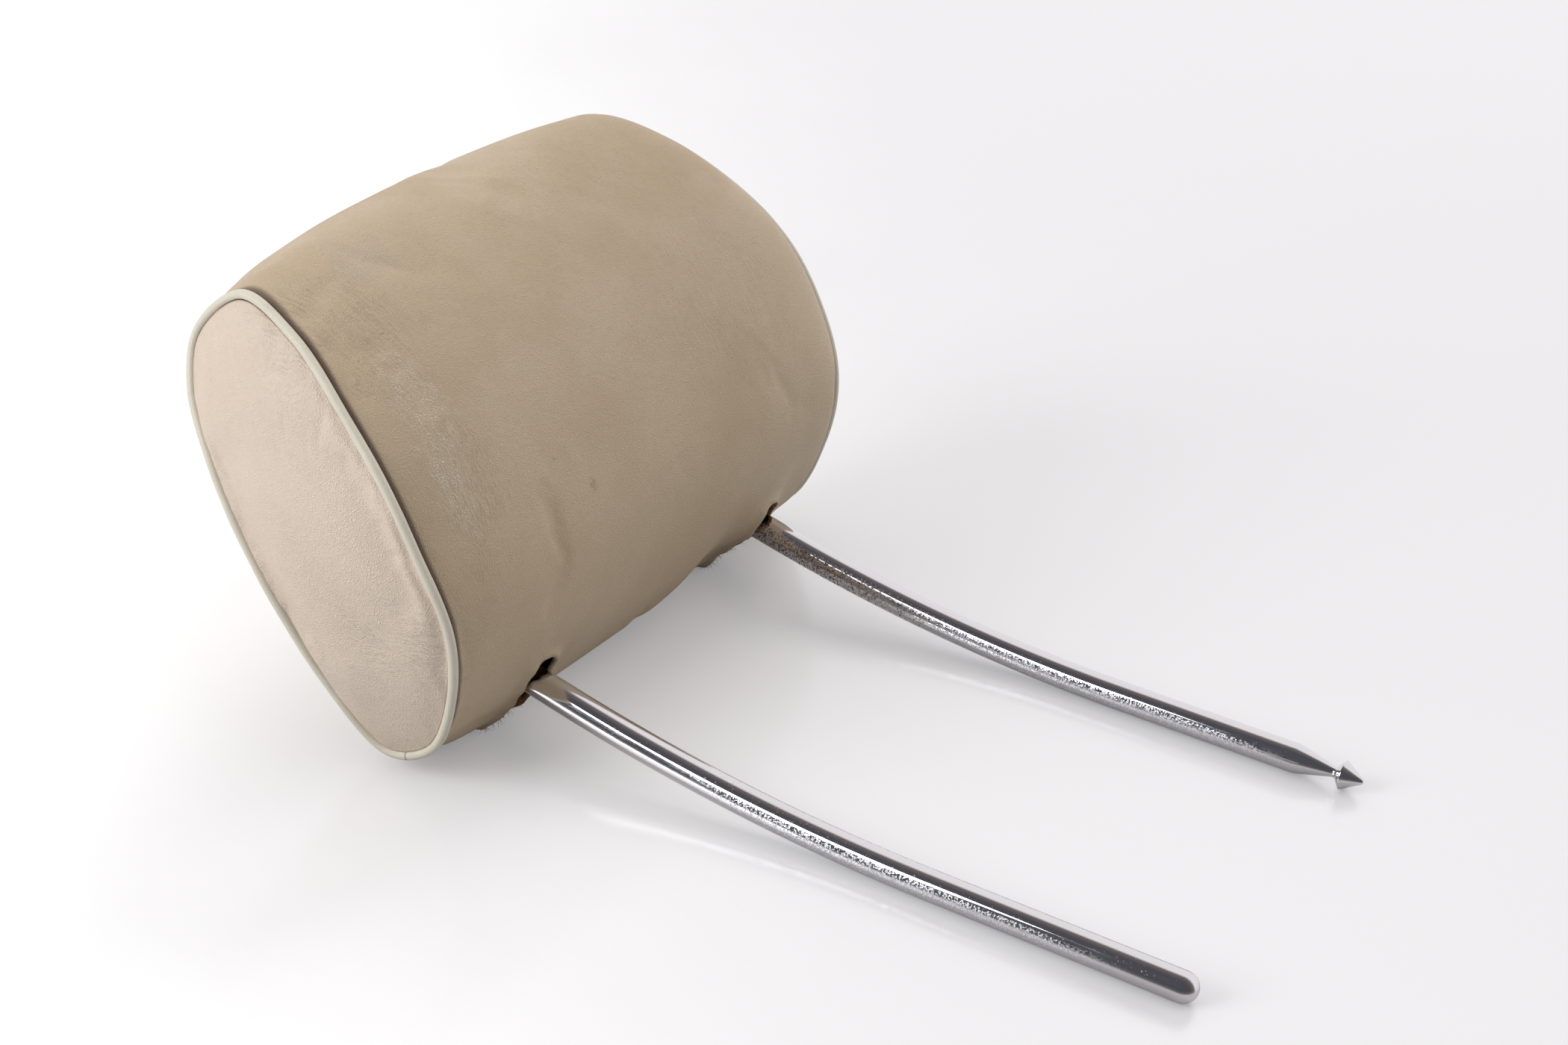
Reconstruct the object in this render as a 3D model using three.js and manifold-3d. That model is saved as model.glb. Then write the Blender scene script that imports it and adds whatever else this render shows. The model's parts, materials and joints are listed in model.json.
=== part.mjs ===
// Car headrest: an oval leather cushion that tilts on a bent steel bar with two curved posts.
// Millimetres, +Z up. X runs across the seat, the posts point to -Y, and the part lies on the
// plane z = 0 as it does when it is taken out of the seat and put down on a table.
// Left is -X and right is +X. Inside the cushion's own group, Z runs up the cushion,
// +Y is its back, and the cross bar's centre line is the X axis.

import * as THREE from 'three';
import { mergeVertices } from 'three/addons/utils/BufferGeometryUtils.js';
import Module from 'manifold-3d';

const wasm = await Module();
wasm.setup();

// Support bar
const barDiameter = 12;
const postSpacing = 163;
const postTipStraight = 100;      // straight stretch behind each tip
const postCurveRadius = 760;      // the long curve of each post
const postRiseDeg = 12.7;         // slope of a post where it enters the cushion
const postInnerStraight = 45;     // from the long curve to the cross bar's centre line
const barBendRadius = 20;         // bends between the posts and the cross bar
const barSides = 16;

// Catch on the right post
const catchHeadLength = 8.6;
const catchHeadDiameter = 12;
const catchNoseRadius = 1.4;
const catchBackLength = 3;
const catchNeckDiameter = 4.4;
const catchNeckLength = 1.2;
const catchTaperLength = 16;
const catchNoseShare = 0.3;       // the nose's first facet, as shares of its radius
const catchNoseSpread = 0.75;
const catchRimLength = 0.8;       // bevel of the head's rim
const catchRimDepth = 0.3;

// Tilt of the cushion on the bar, counted from the pose in which the part lies
const tiltForwardDeg = 6;
const tiltBackDeg = 48;

// Cushion
const cushionLeanDeg = 25.3;      // lean of the cushion from upright, as it lies
const crownPower = 6.5;           // how suddenly the band falls to the piping at its two sides
const leatherThickness = 2;
const pipingDiameter = 4;
const pipingJointStep = 25;       // where the piping's ends meet, in steps of its line
const seamGap = 0.4;              // between the piping and the leather beside it
const coreGap = 0.6;              // between the leather and the foam
const panelDome = 8;              // bulge of each end panel
const panelDomePower = 2.4;       // how flat the middle of that bulge is
const panelStandOff = 0.6;        // edge of the end panel, outwards from the piping's centre
const slotClearance = 2;          // free space on each side of a post in its slot
const outlineSteps = 48;

// From the middle plane to the piping, by height in the group
const halfWidths = [[-60, 128], [-30, 131.5], [10, 138.2], [55, 142.8], [100, 139.5], [140, 127], [175, 111]];

// How far the band bulges past the piping line at mid width, by the direction in degrees
// that the line faces: 0 up, 90 to the front, 180 down, 270 to the back
const crowns = [
  [0, 11], [30, 16], [60, 14], [90, 10.5], [120, 6], [150, 3],
  [180, 7], [210, 11.5], [240, 10], [270, 9.5], [330, 10.5], [360, 11],
];

// Piping line: the outline of the cushion's end, in the group's own Y and Z
const pipingLine = [
  [11, 157], [-15, 139], [-33, 114], [-46, 85], [-51, 55], [-50, 23], [-36, -4],
  [-12, -25.5], [10, -24], [22, 9], [27, 40], [32, 71], [37, 102], [41, 130], [35, 148],
];

// Carrier plate and tilt clamps
const steelSheet = 1.5;
const carrierWidth = 122;
const carrierTop = 122;
const carrierFlange = 9;
const carrierCornerRadius = 18;
const carrierHoleRadius = 15;
const clampSpacing = 76;
const clampWidth = 22;
const clampWall = 2.4;
const clampEarLength = 16;
const upperHoleShare = 0.55;      // screw holes, as shares of an ear's length
const lowerHoleShare = 0.4;
const linerWall = 1.6;
const linerSplit = 1.6;           // slit that lets the liner close on the bar
const fitGap = 0.3;
const screwDiameter = 5;
const screwHeadDiameter = 9;
const screwHeadHeight = 3.5;
const screwPastNut = 1.5;
const socketDepth = 2;
const socketWidth = 4;
const lowerEarEdge = 0.9;         // ear left past the lower screw's head
const nutAcrossFlats = 8;
const nutHeight = 4;
const washerDiameter = 9.6;
const washerThickness = 1;

// Worked-out sizes
const barRadius = barDiameter / 2;
const postRise = THREE.MathUtils.degToRad(postRiseDeg);
const curveRun = postCurveRadius * Math.sin(postRise);
const curveDrop = postCurveRadius * (1 - Math.cos(postRise));
const curveEndY = postTipStraight + curveRun;
const crossBarY = curveEndY + postInnerStraight * Math.cos(postRise);
const crossBarZ = barRadius + curveDrop + postInnerStraight * Math.sin(postRise);
const cushionLean = THREE.MathUtils.degToRad(cushionLeanDeg);
const pipingRadius = pipingDiameter / 2;
const seamInset = pipingRadius + seamGap;

// Colours and finishes
const chrome = new THREE.MeshStandardMaterial({ color: 0xc9cacc, roughness: 0.12, metalness: 1 });
const bandLeather = new THREE.MeshStandardMaterial({ color: 0xa59783, roughness: 0.55 });
const panelLeather = new THREE.MeshStandardMaterial({ color: 0xd2c2b2, roughness: 0.55 });
const pipingLeather = new THREE.MeshStandardMaterial({ color: 0xc9c2b4, roughness: 0.5 });
const foam = new THREE.MeshStandardMaterial({ color: 0xd9c98a, roughness: 0.95 });
const zincSteel = new THREE.MeshStandardMaterial({ color: 0x9a9a92, roughness: 0.4, metalness: 1 });
const blackSteel = new THREE.MeshStandardMaterial({ color: 0x2c2c2e, roughness: 0.6, metalness: 0.3 });
const linerPlastic = new THREE.MeshStandardMaterial({ color: 0xe6e2d8, roughness: 0.5 });

// Helpers for closed meshes

function toSolid(geometry, matrix = new THREE.Matrix4()) {
  const bare = geometry.clone().applyMatrix4(matrix);
  bare.deleteAttribute('normal');
  bare.deleteAttribute('uv');
  const merged = mergeVertices(bare, 1e-4);
  return new wasm.Manifold(new wasm.Mesh({
    numProp: 3,
    vertProperties: new Float32Array(merged.attributes.position.array),
    triVerts: new Uint32Array(merged.index.array),
  }));
}

function toGeometry(solid) {
  const mesh = solid.getMesh();
  const geometry = new THREE.BufferGeometry();
  const positions = new Float32Array(mesh.numVert * 3);
  for (let i = 0; i < mesh.numVert; i += 1) {
    positions.set(mesh.vertProperties.subarray(i * mesh.numProp, i * mesh.numProp + 3), i * 3);
  }
  geometry.setAttribute('position', new THREE.BufferAttribute(positions, 3));
  geometry.setIndex(new THREE.BufferAttribute(new Uint32Array(mesh.triVerts), 1));
  geometry.computeVertexNormals();
  return geometry;
}

function named(name, geometry, material) {
  const mesh = new THREE.Mesh(geometry, material);
  mesh.name = name;
  return mesh;
}

function move(x, y, z) {
  return new THREE.Matrix4().makeTranslation(x, y, z);
}

function signedVolume(positions, index) {
  const corner = (i) => new THREE.Vector3().fromArray(positions, index[i] * 3);
  let volume = 0;
  for (let i = 0; i < index.length; i += 3) {
    volume += corner(i).dot(corner(i + 1).cross(corner(i + 2))) / 6;
  }
  return volume;
}

// Joins rings of equal length into a closed skin with its faces pointing out.
// wrap closes the row of rings into a loop; otherwise a ring of one point closes each end.
function loft(rings, wrap = false) {
  const positions = [];
  const starts = rings.map((ring) => {
    const start = positions.length / 3;
    ring.forEach((point) => positions.push(point.x, point.y, point.z));
    return start;
  });
  const index = [];
  const steps = wrap ? rings.length : rings.length - 1;
  for (let r = 0; r < steps; r += 1) {
    const next = (r + 1) % rings.length;
    const a = rings[r];
    const b = rings[next];
    const count = Math.max(a.length, b.length);
    for (let i = 0; i < count; i += 1) {
      const j = (i + 1) % count;
      const a0 = starts[r] + (a.length > 1 ? i : 0);
      const a1 = starts[r] + (a.length > 1 ? j : 0);
      const b0 = starts[next] + (b.length > 1 ? i : 0);
      const b1 = starts[next] + (b.length > 1 ? j : 0);
      if (a0 !== a1) index.push(a0, a1, b0);
      if (b0 !== b1) index.push(a1, b1, b0);
    }
  }
  const geometry = new THREE.BufferGeometry();
  geometry.setAttribute('position', new THREE.Float32BufferAttribute(positions, 3));
  geometry.setIndex(signedVolume(positions, index) < 0 ? index.reverse() : index);
  geometry.computeVertexNormals();
  return geometry;
}

// A shape drawn in Y and Z, extruded along X and centred on x
function extrudeAlongX(shape, width, x = 0) {
  const geometry = new THREE.ExtrudeGeometry(shape, { depth: width, bevelEnabled: false, curveSegments: 6 });
  geometry.applyMatrix4(new THREE.Matrix4().makeBasis(
    new THREE.Vector3(0, 1, 0), new THREE.Vector3(0, 0, 1), new THREE.Vector3(1, 0, 0),
  ));
  geometry.translate(x - width / 2, 0, 0);
  return geometry;
}

// Support bar

function tubeRing(station, side) {
  const { centre, tangent } = station;
  if (station.radius === 0) return [centre];
  // The facets' middles lie on the true circle.
  const radius = station.radius / Math.cos(Math.PI / barSides);
  const up = new THREE.Vector3().crossVectors(tangent, side).normalize();
  const ring = [];
  for (let i = 0; i < barSides; i += 1) {
    const angle = (2 * Math.PI * (i + 0.5)) / barSides;
    ring.push(centre.clone()
      .addScaledVector(side, radius * Math.cos(angle))
      .addScaledVector(up, radius * Math.sin(angle)));
  }
  return ring;
}

// Centre line of one post by the distance from its end, in the plane x = 0
function postPoint(distance) {
  const y = distance;
  if (y <= postTipStraight) {
    return { y, z: barRadius, slope: 0 };
  }
  const along = y - postTipStraight;
  const arcLength = postCurveRadius * postRise;
  if (along <= arcLength) {
    const slope = along / postCurveRadius;
    return {
      y: postTipStraight + postCurveRadius * Math.sin(slope),
      z: barRadius + postCurveRadius * (1 - Math.cos(slope)),
      slope,
    };
  }
  const rest = along - arcLength;
  return {
    y: curveEndY + rest * Math.cos(postRise),
    z: barRadius + curveDrop + rest * Math.sin(postRise),
    slope: postRise,
  };
}

const roundEnd = [[-barRadius, 0]];
for (const angle of [18, 40, 65, 90]) {
  const turn = THREE.MathUtils.degToRad(angle);
  roundEnd.push([-barRadius * Math.cos(turn), barRadius * Math.sin(turn)]);
}

const catchStart = -barRadius;
const catchHeadEnd = catchStart + catchHeadLength;
const catchNeckStart = catchHeadEnd + catchBackLength;
const catchNeckEnd = catchNeckStart + catchNeckLength;
const catchEnd = [
  [catchStart, 0],
  [catchStart + catchNoseRadius * catchNoseShare, catchNoseRadius * catchNoseSpread],
  [catchStart + catchNoseRadius, catchNoseRadius * (1 + catchNoseShare)],
  [catchHeadEnd, catchHeadDiameter / 2],
  [catchHeadEnd + catchRimLength, catchHeadDiameter / 2 - catchRimDepth],
  [catchNeckStart, catchNeckDiameter / 2],
  [catchNeckEnd, catchNeckDiameter / 2],
  [catchNeckEnd + catchTaperLength, barRadius],
];

function postStations(x, endProfile) {
  const stations = endProfile.map(([distance, radius]) => ({ distance, radius }));
  const last = stations[stations.length - 1].distance;
  const straightEnd = postTipStraight + postCurveRadius * postRise + postInnerStraight - barBendRadius;
  const shown = postTipStraight + postCurveRadius * postRise;
  const curveSteps = 12;
  for (let i = 0; i <= curveSteps; i += 1) {
    const distance = postTipStraight + (shown - postTipStraight) * (i / curveSteps);
    if (distance > last) stations.push({ distance, radius: barRadius });
  }
  stations.push({ distance: straightEnd, radius: barRadius });
  return stations.map(({ distance, radius }) => {
    const point = postPoint(distance);
    return {
      centre: new THREE.Vector3(x, point.y, point.z),
      tangent: new THREE.Vector3(0, Math.cos(point.slope), Math.sin(point.slope)),
      radius,
    };
  });
}

// Quarter bend from the post at x to the cross bar, turning towards the middle
function bendStations(x) {
  const inwards = -Math.sign(x);
  const along = new THREE.Vector3(0, Math.cos(postRise), Math.sin(postRise));
  const corner = new THREE.Vector3(x, crossBarY, crossBarZ);
  const centre = corner.clone().addScaledVector(along, -barBendRadius);
  centre.x += inwards * barBendRadius;
  const bendSteps = 6;
  const stations = [];
  for (let i = 1; i <= bendSteps; i += 1) {
    const turn = (Math.PI / 2) * (i / bendSteps);
    const point = centre.clone().addScaledVector(along, barBendRadius * Math.sin(turn));
    point.x -= inwards * barBendRadius * Math.cos(turn);
    const tangent = along.clone().multiplyScalar(Math.cos(turn));
    tangent.x = inwards * Math.sin(turn);
    stations.push({ centre: point, tangent, radius: barRadius });
  }
  return stations;
}

function buildSupportBar() {
  const half = postSpacing / 2;
  const rings = (x, endProfile) => {
    const stations = [...postStations(x, endProfile), ...bendStations(x)];
    const normal = new THREE.Vector3(0, -Math.sin(postRise), Math.cos(postRise));
    return stations.map((station) => {
      const flat = Math.abs(station.tangent.x) > 1e-9 || station.centre.y > curveEndY;
      const side = flat
        ? new THREE.Vector3().crossVectors(normal, station.tangent).normalize()
        : new THREE.Vector3(-1, 0, 0);
      return tubeRing(station, side);
    });
  };
  const left = rings(-half, roundEnd);
  const right = rings(half, catchEnd);
  // The right half runs the other way, so its rings are turned over to match the left ones.
  const turned = right.reverse().map((ring) => {
    if (ring.length === 1) return ring;
    return ring.map((_, i) => ring[(barSides / 2 - 1 - i + barSides) % barSides]);
  });
  return loft([...left, ...turned]);
}

// Cushion outline

const outlineCurve = new THREE.CatmullRomCurve3(
  pipingLine.map(([y, z]) => new THREE.Vector3(0, y, z)), true, 'centripetal',
);

const outline = [];
for (let i = 0; i < outlineSteps; i += 1) {
  const at = i / outlineSteps;
  const point = outlineCurve.getPointAt(at);
  const tangent = outlineCurve.getTangentAt(at);
  outline.push({ y: point.y, z: point.z, ny: -tangent.z, nz: tangent.y });
}
const outlineCentre = {
  y: outline.reduce((sum, point) => sum + point.y, 0) / outlineSteps,
  z: outline.reduce((sum, point) => sum + point.z, 0) / outlineSteps,
};
// The line is drawn anticlockwise seen from +X, so its normals are turned outwards here.
outline.forEach((point) => {
  const outwards = (point.y - outlineCentre.y) * point.ny + (point.z - outlineCentre.z) * point.nz;
  if (outwards < 0) {
    point.ny *= -1;
    point.nz *= -1;
  }
});

// A smooth curve through pairs of place and value
function curveThrough(pairs) {
  const curve = new THREE.CubicInterpolant(pairs.map(([at]) => at), pairs.map(([, value]) => value), 1);
  return (at) => curve.evaluate(at)[0];
}

const halfWidthAt = curveThrough(halfWidths);
const crownTowards = curveThrough(crowns);

function crownOf(point) {
  const facing = THREE.MathUtils.radToDeg(Math.atan2(-point.ny, point.nz));
  return crownTowards((facing + 360) % 360);
}

// One ring of the cushion at across = -1 (left piping) to 1 (right piping),
// grown by grow and moved in from the piping's plane by inset
function cushionRing(across, grow, inset = 0) {
  return outline.map((point) => {
    const bulge = crownOf(point) * (1 - Math.abs(across) ** crownPower) + grow;
    const y = point.y + point.ny * bulge;
    const z = point.z + point.nz * bulge;
    const x = across * (halfWidthAt(z) - inset);
    return new THREE.Vector3(x, y, z);
  });
}

// A ring on an end face: the outline shrunk to share, stand outwards from the piping's plane
function endRing(side, share, grow, stand) {
  if (share === 0) {
    const { y, z } = outlineCentre;
    return [new THREE.Vector3(side * (halfWidthAt(z) + stand), y, z)];
  }
  return outline.map((point) => {
    const y = outlineCentre.y + (point.y + point.ny * grow - outlineCentre.y) * share;
    const z = outlineCentre.z + (point.z + point.nz * grow - outlineCentre.z) * share;
    return new THREE.Vector3(side * (halfWidthAt(z) + stand), y, z);
  });
}

const acrossSteps = [-1, -0.97, -0.91, -0.82, -0.68, -0.4, 0, 0.4, 0.68, 0.82, 0.91, 0.97, 1];
const domeShares = [1, 0.93, 0.78, 0.52, 0];

function domeAt(share) {
  return panelDome * (1 - share ** panelDomePower);
}

// The space that the bar sweeps in the cushion, as a cutter for one slot
function slotCutter(x, width, reach, radius) {
  const rest = Math.PI + postRise + cushionLean;
  const first = rest - THREE.MathUtils.degToRad(tiltForwardDeg);
  const last = rest + THREE.MathUtils.degToRad(tiltBackDeg);
  const shape = new THREE.Shape();
  const corner = (angle, sideways) => [
    reach * Math.cos(angle) + radius * Math.cos(angle + sideways),
    reach * Math.sin(angle) + radius * Math.sin(angle + sideways),
  ];
  shape.moveTo(...corner(first, -Math.PI / 2));
  shape.lineTo(reach * Math.cos(first), reach * Math.sin(first));
  shape.absarc(0, 0, reach, first, last, false);
  shape.lineTo(...corner(last, Math.PI / 2));
  shape.absarc(0, 0, radius, last + Math.PI / 2, first - Math.PI / 2 + 2 * Math.PI, false);
  return toSolid(extrudeAlongX(shape, width, x));
}

const slotWidth = barDiameter + 2 * slotClearance;
const slotReach = 70;

// Everything below the table plane, in the cushion's own frame
function tableCutter() {
  const size = 600;
  const block = new THREE.BoxGeometry(size, size, size);
  const toGroup = new THREE.Matrix4().makeRotationX(-cushionLean);
  toGroup.setPosition(0, crossBarY, crossBarZ);
  const matrix = toGroup.invert().multiply(move(0, crossBarY, -size / 2));
  return toSolid(block, matrix);
}

function buildBand() {
  const outer = acrossSteps.map((across) => cushionRing(across, 0, seamInset));
  const inner = acrossSteps.map((across) => cushionRing(across, -leatherThickness, seamInset)).reverse();
  let solid = toSolid(loft([...outer, ...inner], true));
  for (const side of [-1, 1]) {
    solid = solid.subtract(slotCutter(side * postSpacing / 2, slotWidth, slotReach, slotWidth / 2));
  }
  return toGeometry(solid.subtract(tableCutter()));
}

function buildEndPanel(side) {
  const outer = domeShares.map((share) => endRing(side, share, -seamInset, panelStandOff + domeAt(share)));
  const inner = domeShares.map((share) => (
    endRing(side, share, -seamInset, panelStandOff + domeAt(share) - leatherThickness)
  )).reverse();
  const geometry = loft([...inner, ...outer]);
  return toGeometry(toSolid(geometry));
}

function buildPiping(side) {
  const sides = 8;
  const rings = [];
  for (let i = 0; i <= outlineSteps; i += 1) {
    const at = ((i + pipingJointStep) / outlineSteps) % 1;
    let gapShift = 0;
    if (i === 0) gapShift = seamGap / 2;
    if (i === outlineSteps) gapShift = -seamGap / 2;
    const shifted = (at + gapShift / outlineCurve.getLength() + 1) % 1;
    const point = outlineCurve.getPointAt(shifted);
    const tangent = outlineCurve.getTangentAt(shifted);
    const ny = tangent.z;
    const nz = -tangent.y;
    const ring = [];
    for (let k = 0; k < sides; k += 1) {
      const angle = (2 * Math.PI * k) / sides;
      const out = pipingRadius * Math.cos(angle);
      const y = point.y + ny * out;
      const z = point.z + nz * out;
      ring.push(new THREE.Vector3(side * halfWidthAt(point.z) + pipingRadius * Math.sin(angle), y, z));
    }
    rings.push(ring);
  }
  const middleOf = (ring) => {
    const middle = new THREE.Vector3();
    ring.forEach((point) => middle.add(point));
    return [middle.divideScalar(ring.length)];
  };
  return loft([middleOf(rings[0]), ...rings, middleOf(rings[rings.length - 1])]);
}

// Carrier and tilt clamps

const linerRadius = barRadius + fitGap + linerWall;
const clampInner = linerRadius + fitGap;
const clampOuter = clampInner + clampWall;
const earFace = steelSheet / 2 + fitGap;
const upperScrewZ = clampOuter + clampEarLength * upperHoleShare;
const lowerScrewZ = -(clampOuter + clampEarLength * lowerHoleShare);
const lowerEarEnd = lowerScrewZ - screwHeadDiameter / 2 - lowerEarEdge;
const carrierBottom = clampOuter + fitGap;

// One half of a clamp: a half ring with an upper and a lower ear. side is -1 at the front.
function clampShape(side) {
  const shape = new THREE.Shape();
  const outerStart = Math.asin((earFace + clampWall) / clampOuter);
  const innerStart = Math.asin(earFace / clampInner);
  const top = clampOuter + clampEarLength;
  const flip = (y) => side * y;
  const ringPoint = (radius, angle) => [flip(radius * Math.sin(angle)), radius * Math.cos(angle)];
  const steps = 8;
  shape.moveTo(flip(earFace), top);
  shape.lineTo(flip(earFace + clampWall), top);
  for (let i = 0; i <= steps; i += 1) {
    shape.lineTo(...ringPoint(clampOuter, outerStart + (Math.PI - 2 * outerStart) * (i / steps)));
  }
  shape.lineTo(flip(earFace + clampWall), lowerEarEnd);
  shape.lineTo(flip(earFace), lowerEarEnd);
  for (let i = steps; i >= 0; i -= 1) {
    shape.lineTo(...ringPoint(clampInner, innerStart + (Math.PI - 2 * innerStart) * (i / steps)));
  }
  shape.closePath();
  return shape;
}

function rodAlongY(x, z, radius, fromY, toY, sides = 16) {
  const geometry = new THREE.CylinderGeometry(radius, radius, toY - fromY, sides);
  geometry.translate(x, (fromY + toY) / 2, z);
  return geometry;
}

function screwHoles(x) {
  const radius = screwDiameter / 2 + fitGap;
  const deep = clampOuter * 4;
  return [upperScrewZ, lowerScrewZ].map((z) => toSolid(rodAlongY(x, z, radius, -deep, deep)));
}

function buildClampHalf(x, side) {
  let solid = toSolid(extrudeAlongX(clampShape(side), clampWidth, x));
  for (const hole of screwHoles(x)) solid = solid.subtract(hole);
  return toGeometry(solid);
}

function buildLiner(x) {
  const sides = 24;
  const inner = (barRadius + fitGap) / Math.cos(Math.PI / barSides);
  const profile = [
    new THREE.Vector2(inner, -clampWidth / 2),
    new THREE.Vector2(linerRadius, -clampWidth / 2),
    new THREE.Vector2(linerRadius, clampWidth / 2),
    new THREE.Vector2(inner, clampWidth / 2),
    new THREE.Vector2(inner, -clampWidth / 2),
  ];
  const sleeve = new THREE.LatheGeometry(profile, sides);
  const alongX = move(x, 0, 0).multiply(new THREE.Matrix4().makeRotationZ(Math.PI / 2));
  const slit = new THREE.BoxGeometry(clampWidth * 2, linerSplit, linerRadius * 2);
  return toGeometry(toSolid(sleeve, alongX).subtract(toSolid(slit, move(x, 0, -linerRadius))));
}

function buildCarrier() {
  const half = carrierWidth / 2;
  const shape = new THREE.Shape();
  shape.moveTo(-half, carrierBottom);
  shape.lineTo(half, carrierBottom);
  shape.lineTo(half, carrierTop - carrierCornerRadius);
  const cornerX = half - carrierCornerRadius;
  const cornerZ = carrierTop - carrierCornerRadius;
  shape.absarc(cornerX, cornerZ, carrierCornerRadius, 0, Math.PI / 2, false);
  shape.absarc(-cornerX, cornerZ, carrierCornerRadius, Math.PI / 2, Math.PI, false);
  shape.closePath();
  const holeZ = (carrierBottom + clampEarLength + carrierTop) / 2;
  for (const x of [-half / 2, half / 2]) {
    const hole = new THREE.Path();
    hole.absarc(x, holeZ, carrierHoleRadius, 0, 2 * Math.PI, true);
    shape.holes.push(hole);
  }
  const sheet = new THREE.ExtrudeGeometry(shape, { depth: steelSheet, bevelEnabled: false, curveSegments: 8 });
  sheet.rotateX(Math.PI / 2);
  sheet.translate(0, steelSheet / 2, 0);
  let solid = toSolid(sheet);
  const flangeHeight = cornerZ - carrierBottom;
  const flangeY = (carrierFlange - steelSheet) / 2;
  for (const side of [-1, 1]) {
    const flange = new THREE.BoxGeometry(steelSheet, carrierFlange, flangeHeight);
    const flangeX = side * (half - steelSheet / 2);
    solid = solid.add(toSolid(flange, move(flangeX, flangeY, carrierBottom + flangeHeight / 2)));
    for (const hole of screwHoles(side * clampSpacing / 2)) solid = solid.subtract(hole);
  }
  return toGeometry(solid);
}

const screwFace = earFace + clampWall + fitGap;

function buildScrew(x, z) {
  const shankEnd = screwFace + washerThickness + fitGap + nutHeight + screwPastNut;
  const head = rodAlongY(x, z, screwHeadDiameter / 2, -screwFace - screwHeadHeight, -screwFace, 16);
  const shank = rodAlongY(x, z, screwDiameter / 2, -screwFace - 1, shankEnd, 12);
  const top = -screwFace - screwHeadHeight;
  const socket = rodAlongY(x, z, socketWidth / 2, top - 1, top + socketDepth, 6);
  return toGeometry(toSolid(head).add(toSolid(shank)).subtract(toSolid(socket)));
}

function ringAlongY(x, z, outerRadius, innerRadius, fromY, toY, sides) {
  const outer = toSolid(rodAlongY(x, z, outerRadius, fromY, toY, sides));
  return outer.subtract(toSolid(rodAlongY(x, z, innerRadius, fromY - 1, toY + 1, 12)));
}

// A split spring washer: a ring with one cut
function buildWasher(x, z) {
  const bore = screwDiameter / 2 + fitGap;
  const ring = ringAlongY(x, z, washerDiameter / 2, bore, screwFace, screwFace + washerThickness, 20);
  const cut = new THREE.BoxGeometry(washerThickness, washerThickness * 3, washerDiameter);
  const cutAt = move(x, screwFace + washerThickness / 2, z + washerDiameter / 2);
  return toGeometry(ring.subtract(toSolid(cut, cutAt)));
}

function buildNut(x, z) {
  const from = screwFace + washerThickness + fitGap;
  const radius = nutAcrossFlats / 2 / Math.cos(Math.PI / 6);
  return toGeometry(ringAlongY(x, z, radius, screwDiameter / 2 + fitGap, from, from + nutHeight, 6));
}

// Foam core, moulded round the carrier, the clamps and the bar

function boxBetween(low, high) {
  const size = high.map((value, i) => value - low[i]);
  const middle = high.map((value, i) => (value + low[i]) / 2);
  return toSolid(new THREE.BoxGeometry(...size), move(...middle));
}

function coreCavity() {
  const gap = coreGap;
  const half = carrierWidth / 2;
  const tunnel = new THREE.CylinderGeometry(clampOuter + gap, clampOuter + gap, postSpacing, 20);
  tunnel.rotateZ(Math.PI / 2);
  let cavity = toSolid(tunnel);
  const sheetFace = steelSheet / 2 + gap;
  cavity = cavity.add(boxBetween([-half - gap, -sheetFace, 0], [half + gap, sheetFace, carrierTop + gap]));
  const screwEnd = screwFace + washerThickness + nutHeight + screwPastNut + fitGap + 2 * gap;
  const headEnd = screwFace + screwHeadHeight + gap;
  const upper = clampOuter + clampEarLength + gap;
  for (const side of [-1, 1]) {
    const flangeX = [side * (half - steelSheet - gap), side * (half + gap)].sort((a, b) => a - b);
    const flangeTop = carrierTop - carrierCornerRadius + gap;
    cavity = cavity.add(boxBetween([flangeX[0], -sheetFace, 0], [flangeX[1], carrierFlange, flangeTop]));
    const low = [side * clampSpacing / 2 - clampWidth / 2 - gap, -headEnd, lowerEarEnd - gap];
    const high = [side * clampSpacing / 2 + clampWidth / 2 + gap, screwEnd, upper];
    cavity = cavity.add(boxBetween(low, high));
    const post = side * postSpacing / 2;
    cavity = cavity.add(slotCutter(post, slotWidth, slotReach, slotWidth / 2));
    const bendWidth = barBendRadius;
    const bendX = post - side * (slotWidth / 2 + bendWidth / 2 - 1);
    cavity = cavity.add(slotCutter(bendX, bendWidth, barBendRadius, slotWidth / 2));
  }
  return cavity;
}

function buildCore() {
  const skin = -leatherThickness - coreGap;
  const rings = acrossSteps.map((across) => cushionRing(across, skin, seamInset));
  const shares = domeShares.slice(1);
  const end = (side) => shares.map((share) => (
    endRing(side, share, skin, panelStandOff + domeAt(share) - leatherThickness - coreGap)
  ));
  const geometry = loft([...end(-1).reverse(), ...rings, ...end(1)]);
  return toGeometry(toSolid(geometry).subtract(coreCavity()));
}

// Assembly

const headrest = new THREE.Group();
headrest.add(named('support_bar', buildSupportBar(), chrome));

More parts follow.
